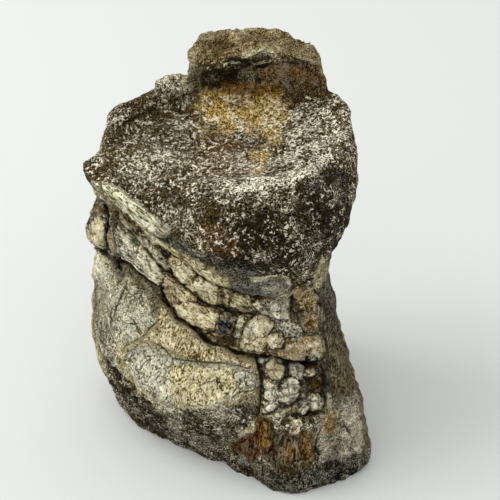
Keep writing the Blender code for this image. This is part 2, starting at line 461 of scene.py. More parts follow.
class Tone(Enum):
    """The bone's pigments."""

    HEAD = Pigment((98, 76, 36), 0.55, 0.97)
    HEAD_GREY = Pigment((108, 90, 54), 0.60, 0.97)
    HEAD_WHITE = Pigment((118, 102, 70), 1.00, 0.97)
    SLOPE = Pigment((92, 74, 37), 0.47, 0.98)
    SLOPE_DARK = Pigment((56, 42, 20), 0.40, 1.00)
    OCHRE = Pigment((250, 206, 108), 0.68, 0.98)
    OCHRE_BROWN = Pigment((128, 94, 42), 0.60, 0.93)
    CREAM = Pigment((255, 250, 206), 1.00, 0.93)
    PLATE = Pigment((244, 224, 164), 0.80, 0.97)
    PLATE_GREY = Pigment((218, 206, 164), 0.75, 0.95)
    PLATE_WHITE = Pigment((226, 216, 180), 0.90, 0.93)
    PLATE_BROWN = Pigment((156, 130, 82), 0.42, 0.92)
    BLUE = Pigment((42, 41, 37), 0.22, 1.00)
    BLUE_DARK = Pigment((44, 46, 46), 0.12, 0.80)
    MATRIX_DARK = Pigment((100, 82, 42), 0.15, 0.88)
    MATRIX = Pigment((176, 148, 86), 0.46, 0.95)
    BODY = Pigment((202, 181, 124), 0.62, 0.96)
    BODY_GREY = Pigment((212, 206, 174), 0.80, 0.94)
    YELLOW = Pigment((222, 204, 133), 0.70, 0.97)
    YELLOW_WHITE = Pigment((238, 232, 204), 0.94, 0.94)
    MARGIN = Pigment((144, 136, 112), 0.75, 0.96)
    UNDERSIDE = Pigment((70, 59, 34), 0.40, 0.98)
    CRUMB = Pigment((226, 200, 146), 0.78, 0.98)
    CRUMB_WHITE = Pigment((224, 216, 190), 0.95, 0.98)
    CRUMB_DARK = Pigment((112, 98, 68), 0.55, 0.97)
    RUST = Pigment((98, 62, 10), 0.03, 1.00)
    RUST_DARK = Pigment((132, 92, 40), 0.40, 0.95)
    RUST_LIGHT = Pigment((188, 150, 98), 0.62, 0.97)
    AMBER = Pigment((172, 122, 40), 0.12, 0.95)
    OLIVE = Pigment((76, 54, 10), 0.05, 1.00)
    FLANK = Pigment((100, 83, 50), 0.15, 0.86)
    FLANK_DARK = Pigment((66, 58, 44), 0.15, 0.75)
    FLANK_GREY = Pigment((152, 140, 120), 0.58, 1.00)
    STUMP = Pigment((138, 112, 50), 0.34, 0.96)
    STUMP_GREY = Pigment((146, 128, 84), 0.50, 0.92)
    STUMP_SIDE = Pigment((138, 123, 84), 0.40, 0.97)
    STUMP_FRONT = Pigment((104, 80, 30), 0.30, 1.00)
    # Painted shadow under the stump's overhanging lip, and darker brown where the stump is stained.
    STUMP_DARK = Pigment((58, 44, 18), 0.25, 1.00)
    RIM = Pigment((36, 27, 9), 0.14, 0.97)
    # Dark brown: painted shadow under overhangs, and dirt blotches in cracks and rust.
    GAP = Pigment((34, 27, 14), 0.10, 0.60)


@dataclass(frozen=True)
class Patch:
    """A stained, worn or raised area inside an outline of pixels.

    The feather is the width of its soft edge in pixels, and the lift its height in millimetres. The fibre
    is the way that the grain runs, in pixels, and its length, up to 1, is how drawn out the grain is.
    """

    outline: Path
    tone: Tone
    cover: float = 1.0
    feather: float = 4.0
    lift: float = 0.0
    spongy: float | None = None
    fibre: tuple[float, float] | None = None


# Lines of the photograph, in its pixels
LEDGE_LINE: Path = [
    (94, 249), (101, 253), (108, 257), (113, 263), (123, 260), (130, 264), (134, 269), (141, 274),
    (148, 280), (159, 287), (163, 293), (166, 299), (170, 307), (173, 313), (177, 318), (185, 323),
    (193, 328), (200, 333), (207, 339), (217, 344), (224, 347), (231, 350), (242, 353), (256, 356),
    (274, 358), (295, 362), (314, 363),
]
LOW_PLATE_LINE: Path = [
    (118, 221), (124, 228), (128, 231), (142, 246), (150, 254), (157, 263), (164, 271), (173, 277),
    (181, 284), (185, 287), (193, 293), (200, 299), (208, 304), (217, 307), (226, 308), (233, 312),
    (241, 313), (254, 313),
]
RIM_LINE: Path = [
    (100, 188), (120, 203), (142, 227), (148, 232), (152, 234), (159, 238), (167, 242), (176, 250),
    (189, 256), (199, 260), (210, 266), (220, 273), (229, 277), (240, 277), (251, 279), (272, 278),
    (291, 279),
]
HIGH_PLATE_LINE: Path = [
    (150, 238), (162, 248), (174, 257), (180, 261), (189, 268), (196, 274), (205, 280), (213, 285),
    (220, 287), (227, 290), (236, 292), (245, 294), (254, 296), (270, 296), (290, 296),
]

CUTS: list[Cut] = [
    Cut(LEDGE_LINE, 0.55, 1.4),
    Cut(LOW_PLATE_LINE, 0.38, 0.9),
    Cut(HIGH_PLATE_LINE, 0.35, 0.7),
    Cut(RIM_LINE, 0.3, 0.5, 0.8),
    Cut([(126, 224), (133, 231), (138, 236)], 0.3, 0.4, 0.8),
    Cut([(155, 225), (162, 232), (167, 238), (170, 243)], 0.25, 0.3, 0.7),
    Cut([(139, 242), (138, 249), (137, 256)], 0.3, 0.4, 0.8),
    Cut([(88, 240), (95, 248), (102, 252), (112, 260), (120, 269)], 0.6, 1.1),
    Cut([(157, 344), (164, 350), (173, 358), (183, 361), (195, 362), (210, 362), (226, 364), (238, 366),
        (248, 369)], 0.28, 0.5, 0.85),
    Cut([(154, 344), (148, 349), (140, 353)], 0.22, 0.3, 0.6),
    Cut([(256, 357), (259, 366), (260, 374), (261, 382), (261, 388), (260, 400), (258, 414)], 0.33,
        1.0),
    Cut([(260, 387), (252, 391), (240, 392), (232, 398)], 0.3, 0.5, 0.8),
    Cut([(126, 282), (122, 292), (119, 300), (115, 308), (113, 315), (111, 321)], 0.35, 0.8),
    Cut([(159, 320), (150, 328), (144, 335), (135, 340), (127, 345), (123, 349)], 0.25, 0.45, 0.7),
    Cut([(176, 352), (190, 345), (204, 348), (222, 355)], 0.18, 0.25, 0.5),
    Cut([(186, 366), (188, 380), (184, 392), (190, 402)], 0.18, 0.25, 0.4),
    Cut([(214, 368), (216, 382), (212, 396)], 0.18, 0.25, 0.4),
    Cut([(100, 199), (103, 208), (107, 215), (107, 222), (106, 230), (105, 238), (107, 247),
        (110, 254)], 0.5, 1.0),
    Cut([(114, 219), (112, 226), (113, 235), (116, 243), (120, 251), (123, 257)], 0.38, 0.8, 0.9),
    Cut([(291, 302), (291, 310), (291, 317)], 0.35, 0.7, 0.8),
    Cut([(293, 288), (304, 283), (313, 279), (322, 265)], 0.4, 0.8),
    Cut([(321, 288), (321, 303), (321, 326), (325, 338), (328, 349), (321, 359)], 0.4, 0.7, 0.5),
    Cut([(320, 430), (317, 438), (315, 446), (319, 455)], 0.45, 0.9, 0.9),
    Cut([(344, 424), (347, 430), (350, 434)], 0.35, 0.6, 0.9),
    Cut([(273, 424), (274, 436), (273, 452), (276, 468)], 0.3, 0.5, 0.5),
    Cut([(336, 330), (342, 345), (346, 360)], 0.3, 0.5, 0.6),
    Cut([(118, 128), (135, 118), (160, 107), (180, 98), (195, 92)], 0.7, 0.5, 0.3),
    Cut([(230, 68), (238, 67), (246, 65), (252, 61), (256, 58), (266, 56)], 1.7, 3.0),
    Cut([(255, 57), (266, 56), (282, 58), (292, 57), (300, 61), (310, 63)], 0.5, 1.2),
]

STEPS: list[Step] = [
    Step(LEDGE_LINE, 1.1, 3.5),
    Step(LOW_PLATE_LINE, 0.4, 3.0),
    Step(HIGH_PLATE_LINE, 0.25, 2.5),
    Step(RIM_LINE, 0.5, 3.0),
    Step([(200, 196), (238, 193), (272, 189), (300, 182), (314, 172), (330, 161), (342, 148)], 0.9,
         4.0),
    Step([(186, 60), (200, 64), (222, 70), (237, 64), (252, 58), (262, 54), (290, 55), (300, 60),
         (318, 66)], 1.0, 4.0),
]

# The head: slope, upper face and its stains
HEAD_PATCHES: list[Patch] = [
    Patch([(100, 185), (130, 207), (165, 238), (220, 270), (291, 279), (320, 268), (352, 235),
          (356, 180), (336, 158), (307, 180), (272, 189), (238, 195), (150, 196)], Tone.SLOPE, 1.0, 7.0,
          spongy=1.0),
    Patch([(205, 235), (240, 210), (300, 205), (345, 215), (325, 262), (290, 277), (240, 275)],
          Tone.SLOPE_DARK, 0.8, 12.0),
    Patch([(300, 184), (332, 164), (352, 170), (354, 230), (330, 255), (318, 215)], Tone.SLOPE_DARK,
          0.8, 8.0),
    Patch([(120, 130), (180, 105), (200, 118), (200, 170), (150, 185), (105, 175)], Tone.HEAD_GREY, 0.7,
          12.0),
    Patch([(196, 92), (232, 88), (272, 92), (290, 104), (284, 126), (262, 132), (240, 128), (226, 136),
          (200, 122)], Tone.OCHRE, 0.75, 14.0),
    Patch([(204, 96), (226, 92), (240, 98), (236, 114), (216, 118), (204, 110)], Tone.OCHRE, 0.6, 7.0),
    Patch([(236, 100), (262, 96), (274, 106), (262, 118), (240, 118)], Tone.OCHRE, 0.45, 8.0),
    Patch([(226, 88), (262, 90), (268, 96), (236, 98)], Tone.OCHRE_BROWN, 0.5, 6.0),
    Patch([(266, 126), (280, 130), (282, 142), (270, 146), (262, 138)], Tone.OCHRE, 0.6, 6.0),
    Patch([(250, 148), (266, 146), (272, 156), (262, 164), (250, 160)], Tone.OCHRE, 0.6, 6.0),
    Patch([(252, 168), (264, 168), (262, 176), (253, 176)], Tone.OCHRE, 0.5, 5.0),
    Patch([(190, 110), (204, 118), (226, 136), (240, 150), (226, 160), (204, 150), (192, 130)],
          Tone.OCHRE_BROWN, 0.45, 10.0),
    Patch([(200, 140), (236, 142), (240, 165), (220, 176), (198, 168)], Tone.OCHRE_BROWN, 0.5, 10.0),
    Patch([(288, 112), (330, 104), (346, 130), (338, 156), (312, 174), (290, 186), (262, 190),
          (232, 190), (216, 178), (262, 172), (282, 152)], Tone.HEAD_WHITE, 0.45, 9.0),
    Patch([(224, 184), (262, 178), (300, 168), (331, 152), (334, 160), (312, 173), (290, 186),
          (262, 192), (230, 192)], Tone.HEAD_WHITE, 0.8, 4.0),
    Patch([(160, 96), (198, 92), (200, 102), (176, 110), (160, 112)], Tone.HEAD_GREY, 0.75, 5.0,
          spongy=0.8),
    Patch([(196, 228), (216, 222), (236, 236), (236, 256), (214, 262), (198, 250)], Tone.OCHRE_BROWN,
          0.6, 8.0),
    Patch([(158, 226), (180, 240), (205, 252), (238, 260), (262, 268), (262, 277), (235, 276),
          (210, 265), (180, 249), (163, 240)], Tone.BLUE, 0.85, 4.0, spongy=0.3, fibre=(1.0, 0.4)),
    Patch([(236, 268), (258, 270), (258, 277), (236, 276)], Tone.BLUE_DARK, 0.8, 2.0),
]

# The fibrous edge of the head and the plates below it
PLATE_PATCHES: list[Patch] = [
    Patch([(88, 180), (100, 182), (118, 186), (131, 199), (143, 206), (152, 214), (160, 222),
          (171, 228), (166, 238), (150, 232), (138, 228), (124, 216), (112, 206), (98, 192)],
          Tone.CREAM, 1.0, 2.5, spongy=0.0, fibre=(1.0, 0.72)),
    Patch([(112, 204), (142, 229), (163, 242), (190, 257), (221, 275), (240, 278), (291, 281),
          (292, 296), (254, 313), (236, 334), (219, 337), (207, 340), (185, 324), (170, 308),
          (159, 288), (134, 270), (118, 259), (112, 232)], Tone.PLATE_BROWN, 1.0, 2.0, spongy=0.0,
          fibre=(0.7, 0.5)),
    Patch([(142, 229), (152, 235), (162, 242), (174, 250), (184, 256), (178, 258), (166, 250),
          (152, 243), (144, 236)], Tone.PLATE, 1.0, 1.5, lift=0.35),
    Patch([(182, 256), (190, 259), (200, 264), (211, 269), (222, 277), (234, 281), (236, 286),
          (228, 288), (219, 285), (210, 281), (200, 275), (190, 267), (182, 261)], Tone.PLATE, 1.0, 1.5,
          lift=0.45),
    Patch([(118, 211), (127, 223), (140, 237), (152, 245), (163, 257), (172, 268), (166, 270),
          (158, 263), (148, 250), (140, 244), (130, 232), (121, 221)], Tone.PLATE_GREY, 1.0, 1.5,
          lift=0.4),
    Patch([(172, 256), (181, 262), (190, 269), (195, 275), (189, 279), (184, 283), (177, 277),
          (172, 270), (167, 262)], Tone.PLATE, 1.0, 1.5, lift=0.45),
    Patch([(186, 286), (194, 279), (201, 278), (213, 284), (220, 289), (220, 303), (213, 304),
          (205, 300), (197, 292)], Tone.PLATE, 1.0, 1.5, lift=0.8),
    Patch([(223, 290), (232, 292), (231, 298), (227, 306), (222, 304)], Tone.PLATE_BROWN, 1.0, 1.5,
          lift=0.4),
    Patch([(235, 294), (247, 296), (250, 303), (253, 311), (243, 311), (231, 306), (232, 299)],
          Tone.PLATE, 1.0, 1.5, lift=0.7),
    Patch([(119, 224), (126, 230), (133, 238), (141, 248), (149, 257), (157, 267), (161, 274),
          (158, 284), (150, 280), (142, 274), (132, 266), (124, 259), (118, 250), (115, 240),
          (115, 230)], Tone.PLATE_WHITE, 1.0, 1.5, lift=0.6),
    Patch([(164, 274), (172, 279), (181, 286), (184, 292), (178, 296), (170, 292), (164, 284)],
          Tone.PLATE_BROWN, 1.0, 1.5, lift=0.35),
    Patch([(183, 293), (189, 290), (197, 296), (196, 300), (186, 302), (176, 300)], Tone.PLATE, 1.0,
          1.5, lift=0.4),
    Patch([(164, 290), (172, 296), (174, 303), (171, 306), (166, 299)], Tone.PLATE_BROWN, 1.0, 1.5,
          lift=0.3),
    Patch([(174, 305), (184, 304), (197, 304), (206, 308), (216, 312), (215, 320), (212, 330),
          (204, 332), (196, 326), (186, 320), (178, 314)], Tone.PLATE, 1.0, 1.5, lift=0.6),
    Patch([(218, 312), (232, 315), (235, 318), (232, 326), (229, 332), (219, 335), (217, 328)],
          Tone.BLUE, 1.0, 1.5, lift=0.6),
    Patch([(219, 313), (231, 315), (233, 320), (220, 320)], Tone.PLATE_BROWN, 0.8, 2.0),
    Patch([(218, 325), (226, 324), (230, 327), (228, 333), (219, 335)], Tone.BLUE_DARK, 0.8, 2.0),
    Patch([(240, 317), (244, 319), (242, 328), (238, 337), (235, 337), (237, 326)], Tone.CREAM, 1.0,
          1.5, lift=0.6),
    Patch([(217, 339), (233, 336), (238, 340), (236, 347), (225, 348), (217, 343)], Tone.OLIVE, 1.0,
          1.5),
    Patch([(229, 283), (238, 280), (250, 278), (264, 277), (282, 276), (289, 279), (293, 285),
          (292, 292), (287, 296), (274, 297), (260, 296), (248, 294), (238, 291)], Tone.BLUE, 1.0, 1.5,
          lift=1.3, spongy=0.35, fibre=(0.5, 0.05)),
    Patch([(232, 284), (246, 283), (262, 285), (276, 286), (278, 292), (262, 295), (246, 292),
          (236, 290)], Tone.BLUE_DARK, 0.8, 3.0, spongy=0.2),
    Patch([(262, 282), (282, 281), (288, 286), (280, 290), (264, 287)], Tone.PLATE_WHITE, 0.2, 4.0),
    # Lighter top edge of the blue plate: whitish bone with a painted highlight.
    Patch([(248, 277), (264, 276), (280, 275), (289, 278), (292, 284), (289, 284), (284, 279),
          (268, 279), (250, 280)], Tone.PLATE_WHITE, 0.85, 1.5),
    # Painted shadow under the raised blue plate.
    Patch([(252, 296), (272, 297), (292, 295), (293, 299), (272, 301), (256, 300)], Tone.GAP, 0.95,
          1.5),
    Patch([(131, 226), (137, 230), (137, 236), (131, 233)], Tone.BLUE_DARK, 0.8, 2.0),
    Patch([(130, 237), (137, 239), (138, 245), (132, 243)], Tone.BLUE_DARK, 0.8, 2.0),
    Patch([(122, 238), (126, 240), (126, 244), (122, 243)], Tone.BLUE_DARK, 0.8, 2.0),
    Patch([(129, 251), (133, 253), (133, 257), (129, 255)], Tone.BLUE_DARK, 0.7, 2.0),
    Patch([(137, 264), (143, 266), (147, 272), (142, 273)], Tone.BLUE_DARK, 0.9, 2.0),
    Patch([(160, 249), (166, 254), (170, 262), (166, 262), (161, 256)], Tone.BLUE_DARK, 0.8, 2.0),
    Patch([(240, 304), (248, 305), (252, 311), (243, 311)], Tone.BLUE_DARK, 0.9, 2.0),
]

# The block at the left
BLOCK_PATCHES: list[Patch] = [
    Patch([(88, 198), (104, 200), (112, 216), (120, 232), (124, 260), (112, 262), (86, 244), (84, 215)],
          Tone.MARGIN, 1.0, 2.0, spongy=0.0),
    Patch([(91, 222), (96, 216), (104, 222), (104, 232), (103, 249), (96, 245), (89, 238)], Tone.PLATE,
          1.0, 1.5, lift=0.6),
    Patch([(93, 203), (99, 203), (103, 214), (97, 215), (91, 212)], Tone.PLATE_BROWN, 1.0, 1.5,
          lift=0.5),
    Patch([(94, 198), (106, 200), (108, 212), (100, 212), (92, 206)], Tone.MATRIX_DARK, 0.6, 3.0),
    Patch([(109, 230), (113, 238), (117, 247), (119, 252), (112, 255), (108, 248), (107, 238)],
          Tone.PLATE_BROWN, 1.0, 1.5, lift=0.4),
    Patch([(92, 282), (124, 284), (113, 318), (108, 346), (96, 340)], Tone.MARGIN, 0.6, 4.0),
    Patch([(90, 282), (101, 286), (102, 318), (98, 338), (91, 310)], Tone.FLANK_GREY, 0.7, 5.0),
    Patch([(91, 251), (98, 255), (108, 263), (112, 270), (104, 283), (93, 280), (90, 262)],
          Tone.PLATE_WHITE, 0.9, 2.0, lift=0.5, spongy=0.0),
    Patch([(112, 258), (126, 262), (140, 274), (158, 288), (168, 300), (173, 313), (164, 312),
          (156, 300), (140, 290), (124, 282), (114, 276)], Tone.MATRIX_DARK, 0.95, 3.0, spongy=0.0),
    # Dark under the start of the ledge: painted shade, over brown matrix.
    Patch([(112, 262), (128, 266), (126, 280), (114, 282)], Tone.GAP, 0.8, 4.0),
]

# The body
BODY_PATCHES: list[Patch] = [
    Patch([(112, 262), (134, 272), (160, 292), (166, 312), (155, 322), (130, 342), (112, 345),
          (98, 320), (94, 280)], Tone.BODY_GREY, 1.0, 4.0, spongy=0.0),
    Patch([(128, 272), (150, 281), (164, 294), (168, 312), (158, 318), (146, 300)], Tone.MATRIX_DARK,
          0.8, 4.0),
    Patch([(108, 256), (124, 260), (134, 268), (150, 280), (164, 292), (173, 312), (166, 315),
          (157, 303), (146, 294), (134, 286), (126, 288), (116, 284), (110, 272)], Tone.MATRIX_DARK,
          0.8, 4.0),
    # Dark under the start of the ledge: painted shade, over brown matrix.
    Patch([(111, 260), (122, 262), (128, 272), (120, 278), (112, 272)], Tone.GAP, 0.7, 4.0),
    Patch([(118, 284), (126, 276), (130, 280), (122, 296), (117, 300)], Tone.PLATE_WHITE, 0.6, 3.0),
    Patch([(91, 276), (102, 280), (108, 300), (106, 330), (104, 346), (96, 338), (90, 300)],
          Tone.MATRIX_DARK, 0.5, 6.0),
    Patch([(244, 358), (256, 359), (258, 370), (246, 370)], Tone.MATRIX_DARK, 0.7, 3.0),
    Patch([(160, 300), (178, 320), (207, 341), (240, 355), (256, 358), (258, 370), (225, 364),
          (183, 361), (157, 344), (140, 342), (155, 322)], Tone.BODY, 1.0, 4.0, spongy=0.0,
          fibre=(0.25, -0.75)),
    Patch([(180, 322), (217, 346), (250, 357), (248, 363), (212, 352), (182, 336)], Tone.RUST_LIGHT,
          0.45, 5.0),
    Patch([(150, 346), (183, 362), (250, 370), (258, 386), (240, 392), (206, 406), (180, 408),
          (160, 402), (138, 385), (124, 360), (134, 345)], Tone.YELLOW_WHITE, 1.0, 4.0, spongy=0.0,
          fibre=(0.25, -0.75)),
    Patch([(182, 364), (235, 370), (236, 385), (222, 402), (178, 406), (168, 388), (172, 370)],
          Tone.YELLOW, 0.9, 5.0),
    Patch([(236, 368), (256, 371), (259, 386), (238, 391)], Tone.MARGIN, 0.5, 3.0),
]

# The weathered left edge and the underside
UNDERSIDE_PATCHES: list[Patch] = [
    Patch([(94, 320), (108, 325), (116, 350), (124, 372), (118, 385), (106, 370), (96, 340)],
          Tone.MARGIN, 0.85, 5.0),
    Patch([(104, 352), (122, 374), (137, 391), (160, 404), (182, 409), (206, 407), (232, 405),
          (256, 404), (259, 416), (232, 444), (252, 463), (262, 480), (200, 460), (140, 436),
          (110, 398)], Tone.UNDERSIDE, 1.0, 4.0, spongy=0.8),
    Patch([(206, 404), (232, 396), (256, 392), (258, 412), (230, 420), (222, 436), (206, 420)],
          Tone.FLANK_GREY, 0.6, 5.0, spongy=0.8),
]

# The crumbled front right
CRUMB_PATCHES: list[Patch] = [
    Patch([(244, 316), (256, 300), (292, 290), (320, 288), (322, 330), (326, 350), (318, 362),
          (258, 357), (238, 348)], Tone.CRUMB, 1.0, 3.0, spongy=0.0),
    Patch([(252, 305), (258, 301), (264, 303), (271, 315), (264, 313), (257, 310)], Tone.CRUMB_WHITE,
          1.0, 1.5, lift=0.3),
    Patch([(264, 302), (272, 301), (277, 297), (289, 299), (289, 317), (282, 319), (274, 316)],
          Tone.CRUMB_WHITE, 1.0, 1.5, lift=0.4),
    Patch([(247, 325), (256, 317), (266, 318), (273, 324), (267, 334), (265, 346), (262, 351),
          (249, 351), (240, 347), (243, 336)], Tone.CRUMB, 1.0, 1.5, lift=0.8),
    Patch([(246, 324), (254, 320), (260, 330), (252, 338), (245, 334)], Tone.CRUMB_WHITE, 0.7, 3.0),
    Patch([(269, 336), (280, 335), (284, 342), (281, 348), (272, 348), (267, 343)], Tone.CRUMB, 1.0,
          1.5, lift=0.6),
    Patch([(268, 312), (290, 316), (300, 324), (304, 336), (296, 342), (286, 336), (276, 328)],
          Tone.CRUMB_WHITE, 1.0, 2.5, spongy=1.0),
    Patch([(293, 288), (302, 287), (305, 294), (302, 299), (294, 298)], Tone.AMBER, 0.6, 1.5, lift=0.4),
    Patch([(303, 290), (312, 290), (319, 298), (316, 306), (304, 307), (296, 311), (295, 302),
          (302, 299)], Tone.MATRIX, 0.9, 1.5, lift=0.3, spongy=0.9),
    Patch([(300, 314), (312, 307), (319, 307), (320, 329), (310, 333), (303, 325)], Tone.RUST_DARK, 0.9,
          2.5, lift=0.3, spongy=0.7),
    Patch([(304, 317), (313, 316), (315, 325), (307, 328)], Tone.AMBER, 0.45, 3.0),
    Patch([(292, 298), (298, 300), (304, 312), (302, 324), (294, 318)], Tone.MATRIX_DARK, 0.8, 3.0),
    Patch([(303, 328), (318, 330), (319, 336), (306, 337)], Tone.GAP, 0.7, 3.0),
    Patch([(288, 341), (300, 342), (306, 337), (319, 336), (321, 348), (306, 351), (296, 350),
          (286, 350)], Tone.RUST_LIGHT, 0.8, 1.5, lift=0.5, spongy=0.8),
    Patch([(276, 352), (286, 351), (304, 352), (304, 360), (292, 360), (278, 356)], Tone.RUST_LIGHT,
          0.8, 1.5, lift=0.4, spongy=0.6),
    Patch([(307, 353), (321, 351), (320, 358), (310, 361)], Tone.CRUMB_WHITE, 0.7, 1.5, lift=0.4),
    Patch([(256, 360), (320, 364), (328, 380), (326, 412), (300, 418), (262, 416)], Tone.CRUMB_DARK,
          1.0, 4.0, spongy=0.6),
    Patch([(264, 362), (304, 362), (304, 380), (324, 396), (322, 412), (264, 414)], Tone.CRUMB_WHITE,
          0.4, 4.0, spongy=0.45),
    Patch([(259, 358), (270, 358), (268, 360), (261, 361)], Tone.CRUMB_WHITE, 1.0, 1.5, lift=0.3),
    Patch([(263, 364), (268, 361), (281, 361), (285, 366), (284, 376), (279, 379), (270, 379),
          (264, 373)], Tone.CRUMB, 1.0, 1.5, lift=0.8),
    Patch([(292, 364), (303, 363), (304, 370), (302, 378), (298, 379), (292, 372)], Tone.CRUMB_WHITE,
          1.0, 1.5, lift=0.7),
    Patch([(306, 366), (313, 364), (315, 372), (310, 377), (306, 374)], Tone.RUST_LIGHT, 0.8, 1.5,
          lift=0.5),
    Patch([(264, 381), (270, 381), (276, 384), (276, 387), (265, 387)], Tone.CRUMB, 1.0, 1.5, lift=0.5),
    Patch([(282, 381), (292, 380), (299, 383), (300, 387), (290, 387), (282, 387)], Tone.CRUMB_WHITE,
          0.8, 1.5, lift=0.5),
    Patch([(264, 391), (270, 389), (274, 392), (278, 400), (272, 400), (265, 399)], Tone.CRUMB_WHITE,
          1.0, 1.5, lift=0.7),
    Patch([(275, 391), (282, 389), (290, 388), (298, 390), (299, 395), (295, 400), (288, 404),
          (283, 403), (279, 398)], Tone.CRUMB_WHITE, 1.0, 1.5, lift=0.9),
    Patch([(263, 402), (276, 402), (278, 405), (272, 411), (268, 413), (263, 411)], Tone.CRUMB_WHITE,
          1.0, 1.5, lift=0.7),
    Patch([(271, 415), (278, 410), (285, 410), (284, 415), (274, 420)], Tone.CRUMB_WHITE, 0.9, 1.5,
          lift=0.4),
    Patch([(287, 410), (297, 407), (299, 410), (295, 413), (289, 413)], Tone.PLATE_BROWN, 1.0, 1.5,
          lift=0.3),
    Patch([(300, 403), (306, 402), (308, 406), (307, 412), (303, 414), (300, 411)], Tone.CRUMB_WHITE,
          1.0, 1.5, lift=0.7),
    Patch([(310, 398), (313, 394), (319, 394), (323, 399), (322, 409), (314, 412), (310, 408)],
          Tone.CRUMB_WHITE, 1.0, 1.5, lift=0.8),
    Patch([(316, 380), (326, 380), (328, 387), (320, 389), (315, 386)], Tone.AMBER, 0.8, 2.5),
]

# The rust wedge and the prow
PROW_PATCHES: list[Patch] = [
    Patch([(272, 414), (300, 416), (322, 412), (322, 440), (274, 440)], Tone.CRUMB_DARK, 1.0, 3.0,
          spongy=0.9),
    Patch([(291, 420), (301, 420), (299, 436), (293, 436)], Tone.CRUMB, 0.8, 4.0),
    Patch([(240, 452), (262, 446), (312, 446), (330, 452), (326, 470), (290, 482), (262, 478)],
          Tone.UNDERSIDE, 1.0, 4.0, spongy=0.8),
    Patch([(273, 432), (302, 434), (314, 442), (312, 462), (298, 474), (276, 476)], Tone.OLIVE, 0.95,
          5.0, spongy=0.15, fibre=(0.2, -1.0)),
    Patch([(276, 436), (302, 434), (302, 444), (277, 446)], Tone.GAP, 0.5, 5.0),
    Patch([(256, 414), (266, 416), (274, 421), (274, 456), (262, 455), (252, 464), (244, 454),
          (230, 446), (238, 439), (246, 434), (255, 431)], Tone.RUST, 1.0, 2.5, spongy=0.1,
          fibre=(0.1, -1.0)),
    Patch([(259, 428), (265, 422), (270, 436), (266, 450), (259, 446)], Tone.AMBER, 0.45, 5.0),
    Patch([(246, 444), (256, 440), (258, 450), (249, 456)], Tone.GAP, 0.45, 5.0),
    Patch([(284, 446), (294, 440), (298, 452), (292, 462), (284, 458)], Tone.AMBER, 0.3, 6.0),
    Patch([(302, 436), (310, 428), (316, 432), (314, 458), (306, 462)], Tone.AMBER, 0.5, 5.0,
          spongy=0.4),
    Patch([(150, 388), (162, 392), (172, 404), (182, 414), (170, 418), (156, 408)], Tone.PLATE_WHITE,
          0.5, 6.0),
    Patch([(238, 430), (246, 430), (246, 438), (239, 438)], Tone.PLATE_WHITE, 0.8, 3.0),
    Patch([(256, 456), (270, 454), (272, 468), (262, 470)], Tone.CRUMB_DARK, 0.5, 4.0),
]

# The right flank
FLANK_PATCHES: list[Patch] = [
    Patch([(322, 268), (332, 285), (345, 320), (356, 350), (358, 400), (328, 412), (326, 350),
          (322, 320), (321, 288)], Tone.FLANK, 1.0, 4.0, spongy=0.0, fibre=(0.08, -0.8)),
    Patch([(323, 264), (333, 284), (344, 318), (340, 340), (328, 334), (323, 300)], Tone.FLANK_DARK,
          0.85, 6.0),
    Patch([(335, 290), (342, 300), (350, 326), (353, 344), (344, 342)], Tone.MATRIX, 0.8, 4.0),
    Patch([(322, 350), (332, 352), (334, 400), (328, 412), (322, 392)], Tone.FLANK_DARK, 0.7, 4.0),
    Patch([(318, 412), (340, 398), (357, 392), (364, 454), (322, 472), (314, 440)], Tone.FLANK_GREY,
          1.0, 5.0, spongy=0.5, fibre=(0.0, 0.1)),
    Patch([(322, 404), (334, 400), (340, 412), (336, 432), (324, 436)], Tone.MATRIX, 0.5, 6.0),
    Patch([(326, 392), (331, 396), (332, 408), (327, 405)], Tone.CRUMB_WHITE, 0.9, 1.5),
    Patch([(324, 412), (334, 418), (333, 434), (325, 434)], Tone.AMBER, 0.45, 4.0),
    Patch([(314, 288), (321, 292), (323, 320), (324, 345), (320, 345), (318, 318)], Tone.CREAM, 0.6,
          2.0, fibre=(0.1, -1.0)),
    Patch([(322, 256), (328, 262), (322, 284), (318, 296), (314, 286), (314, 278)], Tone.PLATE, 0.9,
          2.0, fibre=(0.1, -1.0), spongy=0.0),
    Patch([(246, 464), (262, 470), (284, 478), (316, 466), (340, 458), (364, 450), (364, 466),
          (335, 485), (290, 494), (262, 485)], Tone.RIM, 1.0, 3.0, spongy=0.3),
    Patch([(156, 82), (168, 78), (184, 72), (192, 80), (196, 92), (180, 97), (164, 98), (152, 98)],
          Tone.HEAD, 0.95, 3.0, lift=2.2, spongy=0.9),
]

